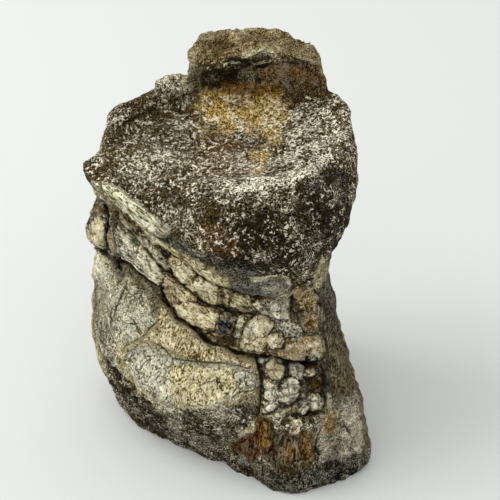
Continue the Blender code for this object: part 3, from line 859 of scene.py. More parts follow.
# The stump
STUMP_PATCHES: list[Patch] = [
    Patch([(186, 60), (200, 66), (222, 74), (238, 66), (252, 60), (262, 56), (300, 60), (318, 66),
          (334, 90), (240, 94), (196, 90), (184, 80)], Tone.STUMP_FRONT, 1.0, 4.0, spongy=0.0),
    # Painted shadow on the lower left of the stump's front, under its lip.
    Patch([(196, 68), (226, 68), (250, 72), (262, 80), (252, 90), (222, 88), (202, 90)],
          Tone.STUMP_DARK, 0.95, 5.0, spongy=0.5),
    Patch([(260, 64), (300, 64), (322, 80), (330, 92), (290, 92), (262, 82)], Tone.STUMP_DARK, 0.45,
          8.0, spongy=0.4),
    Patch([(222, 84), (262, 82), (282, 86), (282, 94), (226, 95)], Tone.AMBER, 0.6, 4.0),
    Patch([(262, 66), (292, 64), (300, 74), (278, 80), (262, 76)], Tone.AMBER, 0.4, 8.0),
    Patch([(300, 72), (326, 76), (332, 92), (306, 92)], Tone.OLIVE, 0.5, 6.0),
    # Painted shadow in the pocket under the stump's overhanging lip.
    Patch([(236, 66), (242, 60), (252, 57), (268, 56), (268, 60), (256, 63), (248, 69), (238, 69)],
          Tone.GAP, 0.95, 2.0),
    # The stump's lip: grey bone, with a painted highlight along the edge.
    Patch([(232, 62), (240, 54), (248, 48), (262, 48), (274, 52), (262, 54), (252, 56), (246, 62),
          (236, 65)], Tone.PLATE_GREY, 0.75, 3.0),
    Patch([(256, 54), (272, 53), (300, 56), (312, 60), (300, 60), (270, 56)], Tone.STUMP_GREY, 0.8,
          2.0),
    Patch([(196, 36), (226, 34), (232, 46), (214, 56), (202, 48)], Tone.OLIVE, 0.6, 8.0),
    Patch([(236, 32), (262, 31), (264, 40), (244, 44)], Tone.MATRIX_DARK, 0.5, 6.0),
    Patch([(262, 38), (300, 40), (314, 52), (292, 54), (266, 48)], Tone.MATRIX_DARK, 0.5, 8.0),
    Patch([(288, 68), (312, 68), (322, 86), (296, 84)], Tone.AMBER, 0.3, 6.0),
    Patch([(190, 46), (198, 50), (207, 62), (198, 63), (190, 56)], Tone.STUMP_GREY, 0.7, 3.0),
    Patch([(186, 50), (192, 60), (200, 66), (202, 94), (190, 94), (184, 80)], Tone.STUMP_SIDE, 0.9,
          3.0),
]

PATCHES: list[Patch] = [
    *HEAD_PATCHES, *PLATE_PATCHES, *BLOCK_PATCHES, *BODY_PATCHES, *UNDERSIDE_PATCHES, *CRUMB_PATCHES,
    *PROW_PATCHES, *FLANK_PATCHES, *STUMP_PATCHES,
]

PLATE_REGION: Path = [
    (92, 200), (104, 198), (142, 229), (190, 257), (229, 278), (264, 276), (293, 279), (292, 290),
    (256, 298), (254, 313), (244, 340), (207, 341), (170, 308), (134, 270), (100, 254), (86, 240),
    (88, 215),
]
CRUMB_REGION: Path = [
    (254, 298), (292, 288), (320, 288), (322, 330), (324, 362), (328, 372), (326, 414), (300, 418),
    (262, 416), (258, 357), (238, 348), (244, 316),
]
UNDERSIDE_REGION: Path = [
    (104, 352), (137, 391), (182, 409), (232, 405), (259, 414), (322, 414), (322, 440), (274, 442),
    (252, 463), (262, 480), (140, 436), (108, 390),
]
MARGIN_REGION: Path = [
    (80, 190), (106, 196), (112, 225), (100, 262), (96, 300), (104, 340), (122, 372), (150, 408),
    (140, 440), (80, 400),
]
BODY_REGION: Path = [
    (112, 262), (170, 312), (240, 356), (258, 386), (206, 406), (138, 388), (96, 340), (92, 280),
]


@dataclass
class Fossil:
    """The vertebra's visible piece: a copy of the solid, remeshed, carved and painted.

    Sizes, depths and heights are in millimetres and rows in pixels. The ragged values shape the edges of
    patches, and a draw is how much a grain is drawn out. Where a form begins, a pair holds the limits.
    """

    view: Viewpoint
    voxel: float = 0.46
    smoothing: int = 8
    triangles: int = 192000
    front_share: float = 0.55
    band: float = 1.0
    sole_snap: float = 0.35
    sight: tuple[float, float] = (3.0, 7.0)
    ragged_sizes: tuple[float, float] = (1.7, 0.8)
    ragged_share: float = 0.35
    first_seed: int = 200
    head_foot: float = 72.0
    head_tilt: tuple[float, float] = (-0.30, 0.32)
    head_middle: tuple[float, float] = (6.0, 5.0)
    head_edge: Grain = Grain(1.5, 5.0, 71)
    stump_front: tuple[float, float] = (24.0, 27.0)
    stump_foot: tuple[float, float] = (86.0, 92.0)
    stump_lean: tuple[float, float] = (0.4, 34.0)
    swells: Grain = Grain(0.35, 7.0, 1)
    ripples: Grain = Grain(0.20, 2.4, 4)
    pores: Grain = Grain(0.14, 1.3, 5)
    fine_pores: Grain = Grain(0.10, 0.75, 6)
    slope_lumps: Grain = Grain(0.6, 4.2, 7)
    rock: Rubble = Rubble(4.5, 9, Grain(0.5, 3.0, 8), 0.7, 0.2, 0.35)
    rock_lumps: Grain = Grain(0.5, 2.2, 12)
    streak_draw: float = 0.22
    streaks: Grain = Grain(0.40, 1.6, 14)
    fine_streaks: Grain = Grain(0.2, 0.8, 15)
    side_lumps: Grain = Grain(0.5, 4.0, 16)
    side_edge: Grain = Grain(0.2, 5.0, 81)
    base_edge: Grain = Grain(2.0, 4.0, 82)
    base_pits: Grain = Grain(0.45, 1.5, 21)
    base_lumps: Grain = Grain(0.35, 2.2, 22)
    plate_margin: float = 1.4
    gap_depth: float = 0.9
    debris: Rubble = Rubble(2.2, 42, Grain(0.4, 1.6, 41), 0.7, 0.5, 0.25)
    splits: Rubble = Rubble(2.8, 32, Grain(0.4, 1.6, 31), 0.2, 0.1, 0.16)
    crumb_stand: float = 0.3
    crumb_furrow: float = 0.25
    plate_grain: Grain = Grain(0.12, 1.3, 36)
    layers: Grain = Grain(1.7, 10.0, 51)
    layer_edges: Grain = Grain(0.25, 1.5, 55)
    layer_depth: float = 0.25
    flake_draw: float = 0.45
    flake_grain: Grain = Grain(0.12, 1.6, 57)
    step_width: float = 0.35
    crack_swell: Grain = Grain(0.55, 2.5, 66)
    waver: Grain = Grain(0.25, 1.8, 61)
    grey_areas: Grain = Grain(1.0, 14.0, 83)
    stump_areas: Grain = Grain(1.0, 6.0, 84)
    stain_drift: Grain = Grain(0.35, 2.0, 67)
    split_drift: Grain = Grain(1.0, 3.0, 68)
    crumb_rows: tuple[float, float] = (350.0, 362.0)
    side_fibre: tuple[float, float, float] = (0.0, 0.0, 0.7)
    fibre_draw: float = 0.93
    obj: bpy.types.Object = field(init=False)
    skin: Skin = field(init=False)
    pixels: np.ndarray = field(init=False)
    seen: np.ndarray = field(init=False)

    def build(self) -> bpy.types.Object:
        """Makes the piece.

        Returns:
            The finished object.
        """
        self.copy_solid()
        self.skin = Skin(self.obj, self.view)
        self.refine_front()
        self.carve()
        self.thin_out()
        self.paint()
        return self.obj

    def apply(self, kind: str, **settings: float | str) -> None:
        """Adds a modifier to the piece and applies it.

        Args:
            kind: Blender's name for the modifier.
            **settings: Its values.
        """
        bpy.ops.object.modifier_add(type=kind)
        modifier = self.obj.modifiers[-1]
        for name, value in settings.items():
            setattr(modifier, name, value)
        bpy.ops.object.modifier_apply(modifier=modifier.name)

    def copy_solid(self) -> None:
        """Copies the solid, joins its triangles and gives it a fine, even mesh."""
        bpy.ops.object.select_all(action="DESELECT")
        solid = frame["nodes"][NODE]
        self.obj = bpy.data.objects.new("fossil_bone", solid.data.copy())
        bpy.context.scene.collection.objects.link(self.obj)
        self.obj.data.materials.clear()
        bpy.context.view_layer.objects.active = self.obj
        self.obj.select_set(True)
        bpy.ops.object.mode_set(mode="EDIT")
        bpy.ops.mesh.select_all(action="SELECT")
        bpy.ops.mesh.remove_doubles(threshold=0.00001)
        bpy.ops.object.mode_set(mode="OBJECT")
        self.apply("REMESH", mode="VOXEL", voxel_size=self.voxel * MM)
        self.drop_specks()
        self.apply("SMOOTH", factor=0.5, iterations=self.smoothing)

    def drop_specks(self) -> None:
        """Deletes the few stray points that the remesh leaves apart from the surface."""
        bpy.ops.object.mode_set(mode="EDIT")
        bpy.ops.mesh.select_mode(type="VERT")
        bpy.ops.mesh.select_all(action="DESELECT")
        bpy.ops.object.mode_set(mode="OBJECT")
        self.obj.data.vertices[int(self.places()[:, 2].argmin())].select = True
        bpy.ops.object.mode_set(mode="EDIT")
        bpy.ops.mesh.select_linked()
        bpy.ops.mesh.select_all(action="INVERT")
        bpy.ops.mesh.delete(type="VERT")
        bpy.ops.object.mode_set(mode="OBJECT")

    def places(self) -> np.ndarray:
        """Reads the piece's points.

        Returns:
            Their places, in millimetres.
        """
        values = np.empty(len(self.obj.data.vertices) * 3)
        self.obj.data.vertices.foreach_get("co", values)
        return values.reshape(-1, 3) / MM

    def normals(self) -> np.ndarray:
        """Reads the way the surface faces.

        Returns:
            The direction that each point faces.
        """
        values = np.empty(len(self.obj.data.vertices) * 3)
        self.obj.data.vertices.foreach_get("normal", values)
        return values.reshape(-1, 3)

    def look(self) -> None:
        """Notes where on the photograph each point lies, and how far it is in plain sight there."""
        places = self.places()
        self.pixels = self.view.pixels(places)
        toward = places - self.view.place()
        distance = np.linalg.norm(toward, axis=1)
        behind = np.empty(len(places))
        for number, (direction, far) in enumerate(zip(toward / distance[:, None], distance)):
            hit = self.skin.tree.ray_cast(self.skin.origin, Vector(direction))[3]
            behind[number] = 0.0 if hit is None else far - hit / MM
        self.seen = 1 - ease(behind, *self.sight)

    def refine_front(self) -> None:
        """Halves the mesh along the cracks and over the plates and crumbs, to give them sharp walls."""
        self.look()
        places = self.places()
        broken = [self.area(places, region, 2.0) for region in (PLATE_REGION, CRUMB_REGION)]
        chosen = np.maximum(*broken) > 0.5
        for cut in CUTS:
            index, _ = near(places, self.skin.lay(cut.path, 2.0), self.band)
            chosen[index] = True
        corners = np.empty(len(self.obj.data.loops), int)
        self.obj.data.loops.foreach_get("vertex_index", corners)
        face_of_corner = np.repeat(np.arange(len(self.obj.data.polygons)), 4)
        picked = np.zeros(len(self.obj.data.polygons), bool)
        picked[face_of_corner[chosen[corners]]] = True
        bpy.ops.object.mode_set(mode="EDIT")
        bpy.ops.mesh.select_mode(type="FACE")
        bpy.ops.mesh.select_all(action="DESELECT")
        bpy.ops.object.mode_set(mode="OBJECT")
        self.obj.data.polygons.foreach_set("select", picked)
        bpy.ops.object.mode_set(mode="EDIT")
        bpy.ops.mesh.subdivide(number_cuts=1)
        bpy.ops.mesh.select_all(action="DESELECT")
        bpy.ops.object.mode_set(mode="OBJECT")

    def inside(
        self, places: np.ndarray, outline: Path, reach: float, seed: int
    ) -> tuple[np.ndarray, np.ndarray]:
        """Measures how far the points near an area of the photograph are inside its ragged outline.

        Args:
            places: The surface's points.
            outline: The area's outline, in pixels.
            reach: How far outside the outline points still count.
            seed: Which ragged edge.

        Returns:
            The indices of the points, and their distances inside the outline, in pixels.
        """
        outer = np.array(outline, float)
        low, high = outer.min(axis=0) - reach, outer.max(axis=0) + reach
        index = np.flatnonzero(((self.pixels >= low) & (self.pixels <= high)).all(axis=1) & (self.seen > 0))
        coarse, fine = self.ragged_sizes
        found = places[index]
        ragged = Chance.lumps(found, coarse, seed) + 0.7 * Chance.lumps(found, fine, seed + 1)
        return index, edge_distance(self.pixels[index], outline) + ragged * reach * self.ragged_share

    def area(self, places: np.ndarray, outline: Path, feather: float, seed: int = 3) -> np.ndarray:
        """Returns how far each point belongs to an area of the photograph.

        Args:
            places: The surface's points.
            outline: The area's outline, in pixels.
            feather: Width of its soft, ragged edge, in pixels.
            seed: Which ragged edge.

        Returns:
            A share from 0 to 1 for each point.
        """
        share = np.zeros(len(places))
        index, within = self.inside(places, outline, feather * 1.7, seed)
        share[index] = ease(within, -feather / 2, feather / 2) * self.seen[index]
        return share

    def seed_of(self, number: int) -> int:
        """Returns which ragged edge a patch has, by its number in the list."""
        return self.first_seed + 2 * number

    def carve(self) -> None:
        """Cuts cracks, steps, plates, crumbs and pits into the surface, and keeps where each point was."""
        self.look()
        places, normals = self.places(), self.normals()
        self.keep("rest", places * MM, "FLOAT_VECTOR")
        self.keep("facing", normals, "FLOAT_VECTOR")
        depth = self.relief(places, normals)
        self.keep("depth", depth, "FLOAT")
        self.keep("seen", self.seen, "FLOAT")
        moved = places - normals * (depth + self.steps(places))[:, None]
        low = moved[:, 2] < self.sole_snap
        moved[low, 2] = 0.0
        self.obj.data.vertices.foreach_set("co", (moved * MM).ravel())
        self.obj.data.update()

    def keep(self, name: str, values: np.ndarray, kind: str) -> None:
        """Writes a named value at each point of the mesh.

        Args:
            name: The attribute's name.
            values: One row for each point.
            kind: FLOAT, FLOAT_VECTOR or FLOAT_COLOR.
        """
        mesh = self.obj.data
        if name in mesh.attributes:
            mesh.attributes.remove(mesh.attributes[name])
        layer = mesh.attributes.new(name, kind, "POINT")
        item = {"FLOAT": "value", "FLOAT_VECTOR": "vector", "FLOAT_COLOR": "color"}[kind]
        layer.data.foreach_set(item, np.ascontiguousarray(values, float).ravel())

    def kept(self, name: str, width: int) -> np.ndarray:
        """Reads a named value of each point.

        Args:
            name: The attribute's name.
            width: How many numbers it has for each point, 1 or 3.

        Returns:
            One row for each point.
        """
        layer = self.obj.data.attributes[name]
        values = np.empty(len(self.obj.data.vertices) * width)
        layer.data.foreach_get("value" if width == 1 else "vector", values)
        return values if width == 1 else values.reshape(-1, width)

    def head_share(self, places: np.ndarray) -> np.ndarray:
        """Tells the flared, spongy head from the rest.

        Args:
            places: The surface's points.

        Returns:
            How far each point belongs to the head, 0 to 1.
        """
        (right, away), middle = self.head_tilt, self.head_middle
        foot = self.head_foot + right * (places[:, 0] - middle[0]) + away * (places[:, 1] - middle[1])
        return ease(places[:, 2] - foot + self.head_edge.lumps(places), -1.5, 1.5)

    def stump_share(self, places: np.ndarray) -> np.ndarray:
        """Tells the stump of the neural arch from the rest.

        Args:
            places: The surface's points.

        Returns:
            How far each point belongs to the stump, 0 to 1.
        """
        lean, middle = self.stump_lean
        height = places[:, 2] - lean * (middle - places[:, 1])
        return ease(places[:, 1], *self.stump_front) * ease(height, *self.stump_foot)

    def relief(self, places: np.ndarray, normals: np.ndarray) -> np.ndarray:
        """Works out how deep the surface is cut at each point.

        Args:
            places: The smooth surface's points.
            normals: The directions that they face.

        Returns:
            Depths in millimetres, below zero where the surface is raised.
        """
        head, stump = self.head_share(places), self.stump_share(places)
        plain = 1 - np.maximum(head, stump)
        depth = self.swells.rough(places) + self.ripples.rough(places)
        depth += head * (self.pores.lumps(places) + self.fine_pores.lumps(places))
        depth += head * self.slope_lumps.rough(places) * ease(-normals[:, 2], -0.75, -0.3)
        rocky = self.rock.relief(places) + self.rock_lumps.rough(places)
        margin = self.area(places, MARGIN_REGION, 8.0)
        depth += np.maximum(stump, margin * plain) * rocky
        upright = places * np.array([1.0, 1.0, self.streak_draw])
        streaks = self.streaks.lumps(upright) + self.fine_streaks.lumps(upright)
        sides = ease(np.maximum(normals[:, 0], normals[:, 1]), 0.1, 0.6) * plain
        depth += sides * (streaks + self.side_lumps.rough(places))
        depth += self.plates(places) + self.flakes(places)
        under = self.area(places, UNDERSIDE_REGION, 6.0)
        base = plain * ease(self.base_edge.lumps(places) - places[:, 2], -9.0, -3.0)
        pits = ease(Chance.lumps(places, self.base_pits.size, self.base_pits.seed), 0.2, 0.7) - 0.3
        pitted = self.base_pits.depth * pits + self.base_lumps.rough(places)
        depth += np.maximum(under, base) * pitted
        return depth + self.cracks(places)

    def plate_edges(self, places: np.ndarray) -> np.ndarray:
        """Measures points against the plates and crumbs.

        Args:
            places: The surface's points.

        Returns:
            How far each point is inside its plate or crumb, in pixels, below zero in the gaps.
        """
        nearest = np.full(len(places), -9.0)
        for number, patch in enumerate(PATCHES):
            if patch.lift:
                index, within = self.inside(places, patch.outline, 4.0, self.seed_of(number))
                nearest[index] = np.maximum(nearest[index], within + self.plate_margin)
        return nearest

    def plates(self, places: np.ndarray) -> np.ndarray:
        """Works out the relief of the broken plates and crumbs and of the gaps round them.

        Args:
            places: The surface's points.

        Returns:
            A depth for each point, below zero where a plate or crumb is raised.
        """
        plates = self.area(places, PLATE_REGION, 3.0)
        crumbs = self.area(places, CRUMB_REGION, 3.0)
        share = np.maximum(plates, crumbs)
        nearest = self.plate_edges(places)
        gap = (1 - ease(nearest, -0.9, 0.4)) * (1 - 0.65 * ease(-nearest, 1.0, 3.0))
        chips = self.splits.relief(places, self.crumb_stand * crumbs, self.crumb_furrow * crumbs)
        covered = ease(nearest, -1.0, 1.0)
        between = (1 - covered) * crumbs * self.debris.relief(places)
        depth = share * (self.gap_depth * gap + covered * chips + between)
        for number, patch in enumerate(PATCHES):
            if patch.lift:
                index, within = self.inside(places, patch.outline, 3.0, self.seed_of(number))
                depth[index] -= patch.lift * ease(within, -0.5, 4.0) * self.seen[index]
        return depth + share * self.plate_grain.rough(places)

    def flakes(self, places: np.ndarray) -> np.ndarray:
        """Works out the relief of the body's flaked layers, which end in low ragged edges.

        Args:
            places: The surface's points.

        Returns:
            A depth for each point.
        """
        share = self.area(places, BODY_REGION, 8.0)
        layer = self.layers.rough(places) + self.layer_edges.rough(places)
        low = np.floor(layer)
        grain = self.flake_grain.rough(places * np.array([1.0, 1.0, self.flake_draw]))
        return share * (self.layer_depth * (low + ease(layer - low, 0.0, 0.2)) + grain)

    def steps(self, places: np.ndarray) -> np.ndarray:
        """Works out how far the surface drops beside the steps of the photograph.

        Args:
            places: The surface's points.

        Returns:
            A depth for each point.
        """
        depth = np.zeros(len(places))
        wander = self.wander(places)
        for step in STEPS:
            index, gap = near(wander, self.skin.lay(step.path), step.reach * 3)
            side = side_of(self.pixels[index], step.path)
            beyond = np.clip(gap * side / self.step_width, 0, 1)
            depth[index] += step.drop * np.exp(-gap / step.reach) * beyond
        return depth

    def cracks(self, places: np.ndarray) -> np.ndarray:
        """Works out the depth of the cracks that follow the photograph.

        Args:
            places: The surface's points.

        Returns:
            A depth for each point.
        """
        depth = np.zeros(len(places))
        wander = self.wander(places)
        wide = 1 + self.crack_swell.lumps(places)
        for cut in CUTS:
            index, gap = near(wander, self.skin.lay(cut.path), cut.half_width * 1.6)
            depth[index] += cut.depth * np.clip(1 - gap / (cut.half_width * wide[index]), 0, 1) ** 0.7
        return depth

    def wander(self, places: np.ndarray) -> np.ndarray:
        """Returns the points shifted a little, so that lines laid on them waver."""
        shifts = [Chance.rough(places, self.waver.size, self.waver.seed + axis) for axis in range(3)]
        return places + self.waver.depth * np.stack(shifts, axis=1)

    def thin_out(self) -> None:
        """Brings the mesh down to its number of triangles, least where the photograph shows it."""
        self.apply("TRIANGULATE")
        count = len(self.obj.data.polygons)
        LOG.info("carved mesh has %d triangles", count)
        group = self.obj.vertex_groups.new(name="hidden")
        hidden = self.kept("seen", 1) < 0.5
        group.add(np.flatnonzero(hidden).tolist(), 1.0, "REPLACE")
        group.add(np.flatnonzero(~hidden).tolist(), self.front_share, "REPLACE")
        self.apply("DECIMATE", ratio=self.triangles / count, vertex_group="hidden", vertex_group_factor=1.0)
        LOG.info("thinned mesh has %d triangles", len(self.obj.data.polygons))
        self.obj.vertex_groups.clear()
        places = self.places()
        low = places[:, 2] < self.sole_snap
        places[low, 2] = 0.0
        self.obj.data.vertices.foreach_set("co", (places * MM).ravel())
        self.obj.data.update()
        self.obj.data.shade_smooth()

    def paint(self) -> None:
        """Writes the bone's colours and kinds of surface at each point."""
        places, facing, depth = self.kept("rest", 3) / MM, self.kept("facing", 3), self.kept("depth", 1)
        self.pixels, self.seen = self.view.pixels(places), self.kept("seen", 1)
        head, stump = self.head_share(places), self.stump_share(places)
        side = ease(np.maximum(facing[:, 0], facing[:, 1]) + self.side_edge.lumps(places), 0.0, 0.5)
        base = ease(self.base_edge.lumps(places) - places[:, 2], -6.0, -1.0)
        coat = np.tile(self.recipe(Tone.BODY), (len(places), 1))
        for tone, share in (
            (Tone.FLANK, side), (Tone.FLANK_GREY, side * ease(self.grey_areas.rough(places), 0.1, 0.5)),
            (Tone.RIM, base), (Tone.HEAD, head), (Tone.STUMP, stump),
            (Tone.STUMP_GREY, stump * ease(self.stump_areas.rough(places), 0.25, 0.6)),
        ):
            coat += (self.recipe(tone) - coat) * share[:, None]
        spongy = head * (1 - 0.75 * ease(facing[:, 1], 0.2, 0.8)) * (1 - stump)
        along = np.outer(side * (1 - head) * (1 - stump), self.side_fibre)
        for number, patch in enumerate(PATCHES):
            share = self.area(places, patch.outline, patch.feather, self.seed_of(number)) * patch.cover
            coat += (self.recipe(patch.tone) - coat) * share[:, None]
            if patch.spongy is not None:
                spongy += (patch.spongy - spongy) * share
            if patch.fibre is not None:
                along += (self.direction(patch) - along) * share[:, None]
        self.keep("ground", np.column_stack([coat[:, :3], np.ones(len(places))]), "FLOAT_COLOR")
        for name, values in (
            ("chalk", coat[:, 3]), ("contrast", coat[:, 4]), ("spongy", spongy),
            ("crack", self.dirt_and_shade(places)), ("hollow", depth),
        ):
            self.keep(name, values, "FLOAT")
        self.keep("along", along, "FLOAT_VECTOR")
        for name in ("rest", "facing", "depth", "seen"):
            self.obj.data.attributes.remove(self.obj.data.attributes[name])

    def direction(self, patch: Patch) -> np.ndarray:
        """Lays a patch's fibres on the bone.

        Args:
            patch: A patch with a fibre.

        Returns:
            The way that the fibres run, the longer the more drawn out they are.
        """
        middle = np.mean(patch.outline, axis=0)
        start, end = (self.skin.hit(tuple(middle + way * np.array(patch.fibre))) for way in (-3.0, 3.0))
        strength = self.fibre_draw * min(1.0, float(np.linalg.norm(patch.fibre)))
        return strength * (end - start) / np.linalg.norm(end - start)

    @staticmethod
    def recipe(tone: Tone) -> np.ndarray:
        """Returns a tone as five numbers: its linear colour, chalk and contrast."""
        return np.array([*srgb(*tone.value.colour), tone.value.chalk, tone.value.contrast])

    def dirt_and_shade(self, places: np.ndarray) -> np.ndarray:
        """Lays dirt and painted shade in the cracks, in the splits and in the gaps between plates and
        crumbs.

        Args:
            places: The surface's points.

        Returns:
            How dark with dirt and painted shade each point is, 0 to 1.
        """
        nearest = self.plate_edges(places)
        plates, crumbs = self.area(places, PLATE_REGION, 3.0), self.area(places, CRUMB_REGION, 3.0)
        share = np.maximum(plates, crumbs)
        dirt_and_shade = share * (1 - ease(nearest, -1.0, 0.3)) * (0.8 - 0.65 * ease(-nearest, 0.8, 2.2))
        line = 1 - ease(self.splits.blocks(places)[0], 0.05, 0.22)
        some = ease(self.split_drift.lumps(places), 0.0, 0.4)
        low = ease(self.pixels[:, 1], *self.crumb_rows)
        split = line * np.maximum(crumbs * (0.5 * some + (0.7 - 0.5 * some) * low), 0.55 * plates * some)
        dirt_and_shade = np.maximum(dirt_and_shade, split)
        wander = self.wander(places)
        uneven = 0.85 + self.stain_drift.lumps(places)
        for cut in CUTS:
            index, gap = near(wander, self.skin.lay(cut.path), cut.half_width * 2)
            mark = cut.stain_and_shade * (1 - ease(gap, cut.half_width * 0.3, cut.half_width * 1.15)) * uneven[index]
            dirt_and_shade[index] = np.maximum(dirt_and_shade[index], np.clip(mark, 0, 1))
        return dirt_and_shade


@dataclass(frozen=True)
class Clouds:
    """Shader noise: its lumps to a millimetre, its layers of detail and how rough they are."""

    scale: float
    detail: float = 2.0
    roughness: float = 0.5


@dataclass(frozen=True)
class Hairs:
    """A net of hair cracks: its cells' size, its cracks' width and strength, and where noise lets it in."""

    size: float
    width: float
    strength: float
    gate: float


class Graph:
    """A node tree, with short ways to add to it."""

    def __init__(self, tree: bpy.types.NodeTree) -> None:
        """Keeps the tree."""
        self.tree = tree

    def node(self, kind: str, **settings: object) -> bpy.types.Node:
        """Adds a node.

        Args:
            kind: Blender's name for the node, without ShaderNode.
            **settings: Its properties.

        Returns:
            The node.
        """
        made = self.tree.nodes.new("ShaderNode" + kind)
        for name, value in settings.items():
            setattr(made, name, value)
        return made

    def feed(self, socket: bpy.types.NodeSocket, value: object) -> None:
        """Links an output to a socket, or sets the socket to a value.

        Args:
            socket: The socket to feed.
            value: An output, or a plain value.
        """
        if isinstance(value, bpy.types.NodeSocket):
            self.tree.links.new(value, socket)
        else:
            socket.default_value = value

    def math(self, operation: str, *values: object, clamp: bool = False) -> bpy.types.NodeSocket:
        """Adds a Math node.

        Args:
            operation: Blender's name for the sum.
            *values: Its outputs or numbers.
            clamp: Whether the result is kept from 0 to 1.

        Returns:
            The result.
        """
        made = self.node("Math", operation=operation, use_clamp=clamp)
        for socket, value in zip(made.inputs, values):
            self.feed(socket, value)
        return made.outputs[0]

    def scaled(self, vector: object, scale: tuple[float, float, float]) -> bpy.types.NodeSocket:
        """Stretches a vector.

        Args:
            vector: The vector.
            scale: How much along each axis.

        Returns:
            The stretched vector.
        """
        made = self.node("Mapping", vector_type="POINT")
        self.feed(made.inputs["Vector"], vector)
        made.inputs["Scale"].default_value = scale
        return made.outputs[0]

    def noise(self, vector: object, clouds: Clouds) -> bpy.types.Node:
        """Adds a Noise node.

        Args:
            vector: Where on the bone, in millimetres.
            clouds: The noise's values.

        Returns:
            The node.
        """
        made = self.node("TexNoise")
        self.feed(made.inputs["Vector"], vector)
        made.inputs["Scale"].default_value = clouds.scale
        made.inputs["Detail"].default_value = clouds.detail
        made.inputs["Roughness"].default_value = clouds.roughness
        return made

    def drift(self, vector: object, clouds: Clouds) -> bpy.types.NodeSocket:
        """Returns the value of noise, which is 0.5 on average."""
        return self.noise(vector, clouds).outputs["Fac"]

    def bent(self, vector: object, scale: float, reach: float) -> bpy.types.NodeSocket:
        """Shifts a vector unevenly.

        Args:
            vector: The vector.
            scale: The scale of the noise that shifts it.
            reach: How far it is shifted at most.

        Returns:
            The shifted vector.
        """
        bend = self.noise(vector, Clouds(scale))
        shift = self.node("VectorMath", operation="MULTIPLY_ADD")
        for socket, item in zip(shift.inputs, (bend.outputs["Color"], (reach, reach, reach), vector)):
            self.feed(socket, item)
        return shift.outputs[0]

    def span(
        self, value: object, low: object, high: object, start: float = 0.0, end: float = 1.0
    ) -> bpy.types.NodeSocket:
        """Runs smoothly from one value to another.

        Args:
            value: What the result depends on.
            low: The value at which the run begins.
            high: The value at which it ends.
            start: The result up to low.
            end: The result from high on.

        Returns:
            The result.
        """
        made = self.node("MapRange", interpolation_type="SMOOTHSTEP")
        for socket, item in zip(made.inputs, (value, low, high, start, end)):
            self.feed(socket, item)
        return made.outputs[0]

    def blend(self, share: object, first: object, second: object) -> bpy.types.NodeSocket:
        """Mixes two values.

        Args:
            share: How much of the second, 0 to 1.
            first: The first value.
            second: The second value.

        Returns:
            The mixed value.
        """
        made = self.node("Mix", data_type="FLOAT")
        for socket, item in zip((made.inputs[0], made.inputs[2], made.inputs[3]), (share, first, second)):
            self.feed(socket, item)
        return made.outputs[0]

    def mix(self, share: object, first: object, second: object, blend: str = "MIX") -> bpy.types.NodeSocket:
        """Mixes two colours.

        Args:
            share: How much of the second, 0 to 1.
            first: The first colour.
            second: The second colour.
            blend: Blender's name for the way they are mixed.

        Returns:
            The mixed colour.
        """
        made = self.node("Mix", data_type="RGBA", blend_type=blend, clamp_factor=True)
        self.feed(made.inputs[0], share)
        self.feed(made.inputs[6], first)
        self.feed(made.inputs[7], second)
        return made.outputs[2]

    def value(self, name: str) -> bpy.types.NodeSocket:
        """Returns a named value of the mesh."""
        return self.node("Attribute", attribute_name=name).outputs["Fac"]


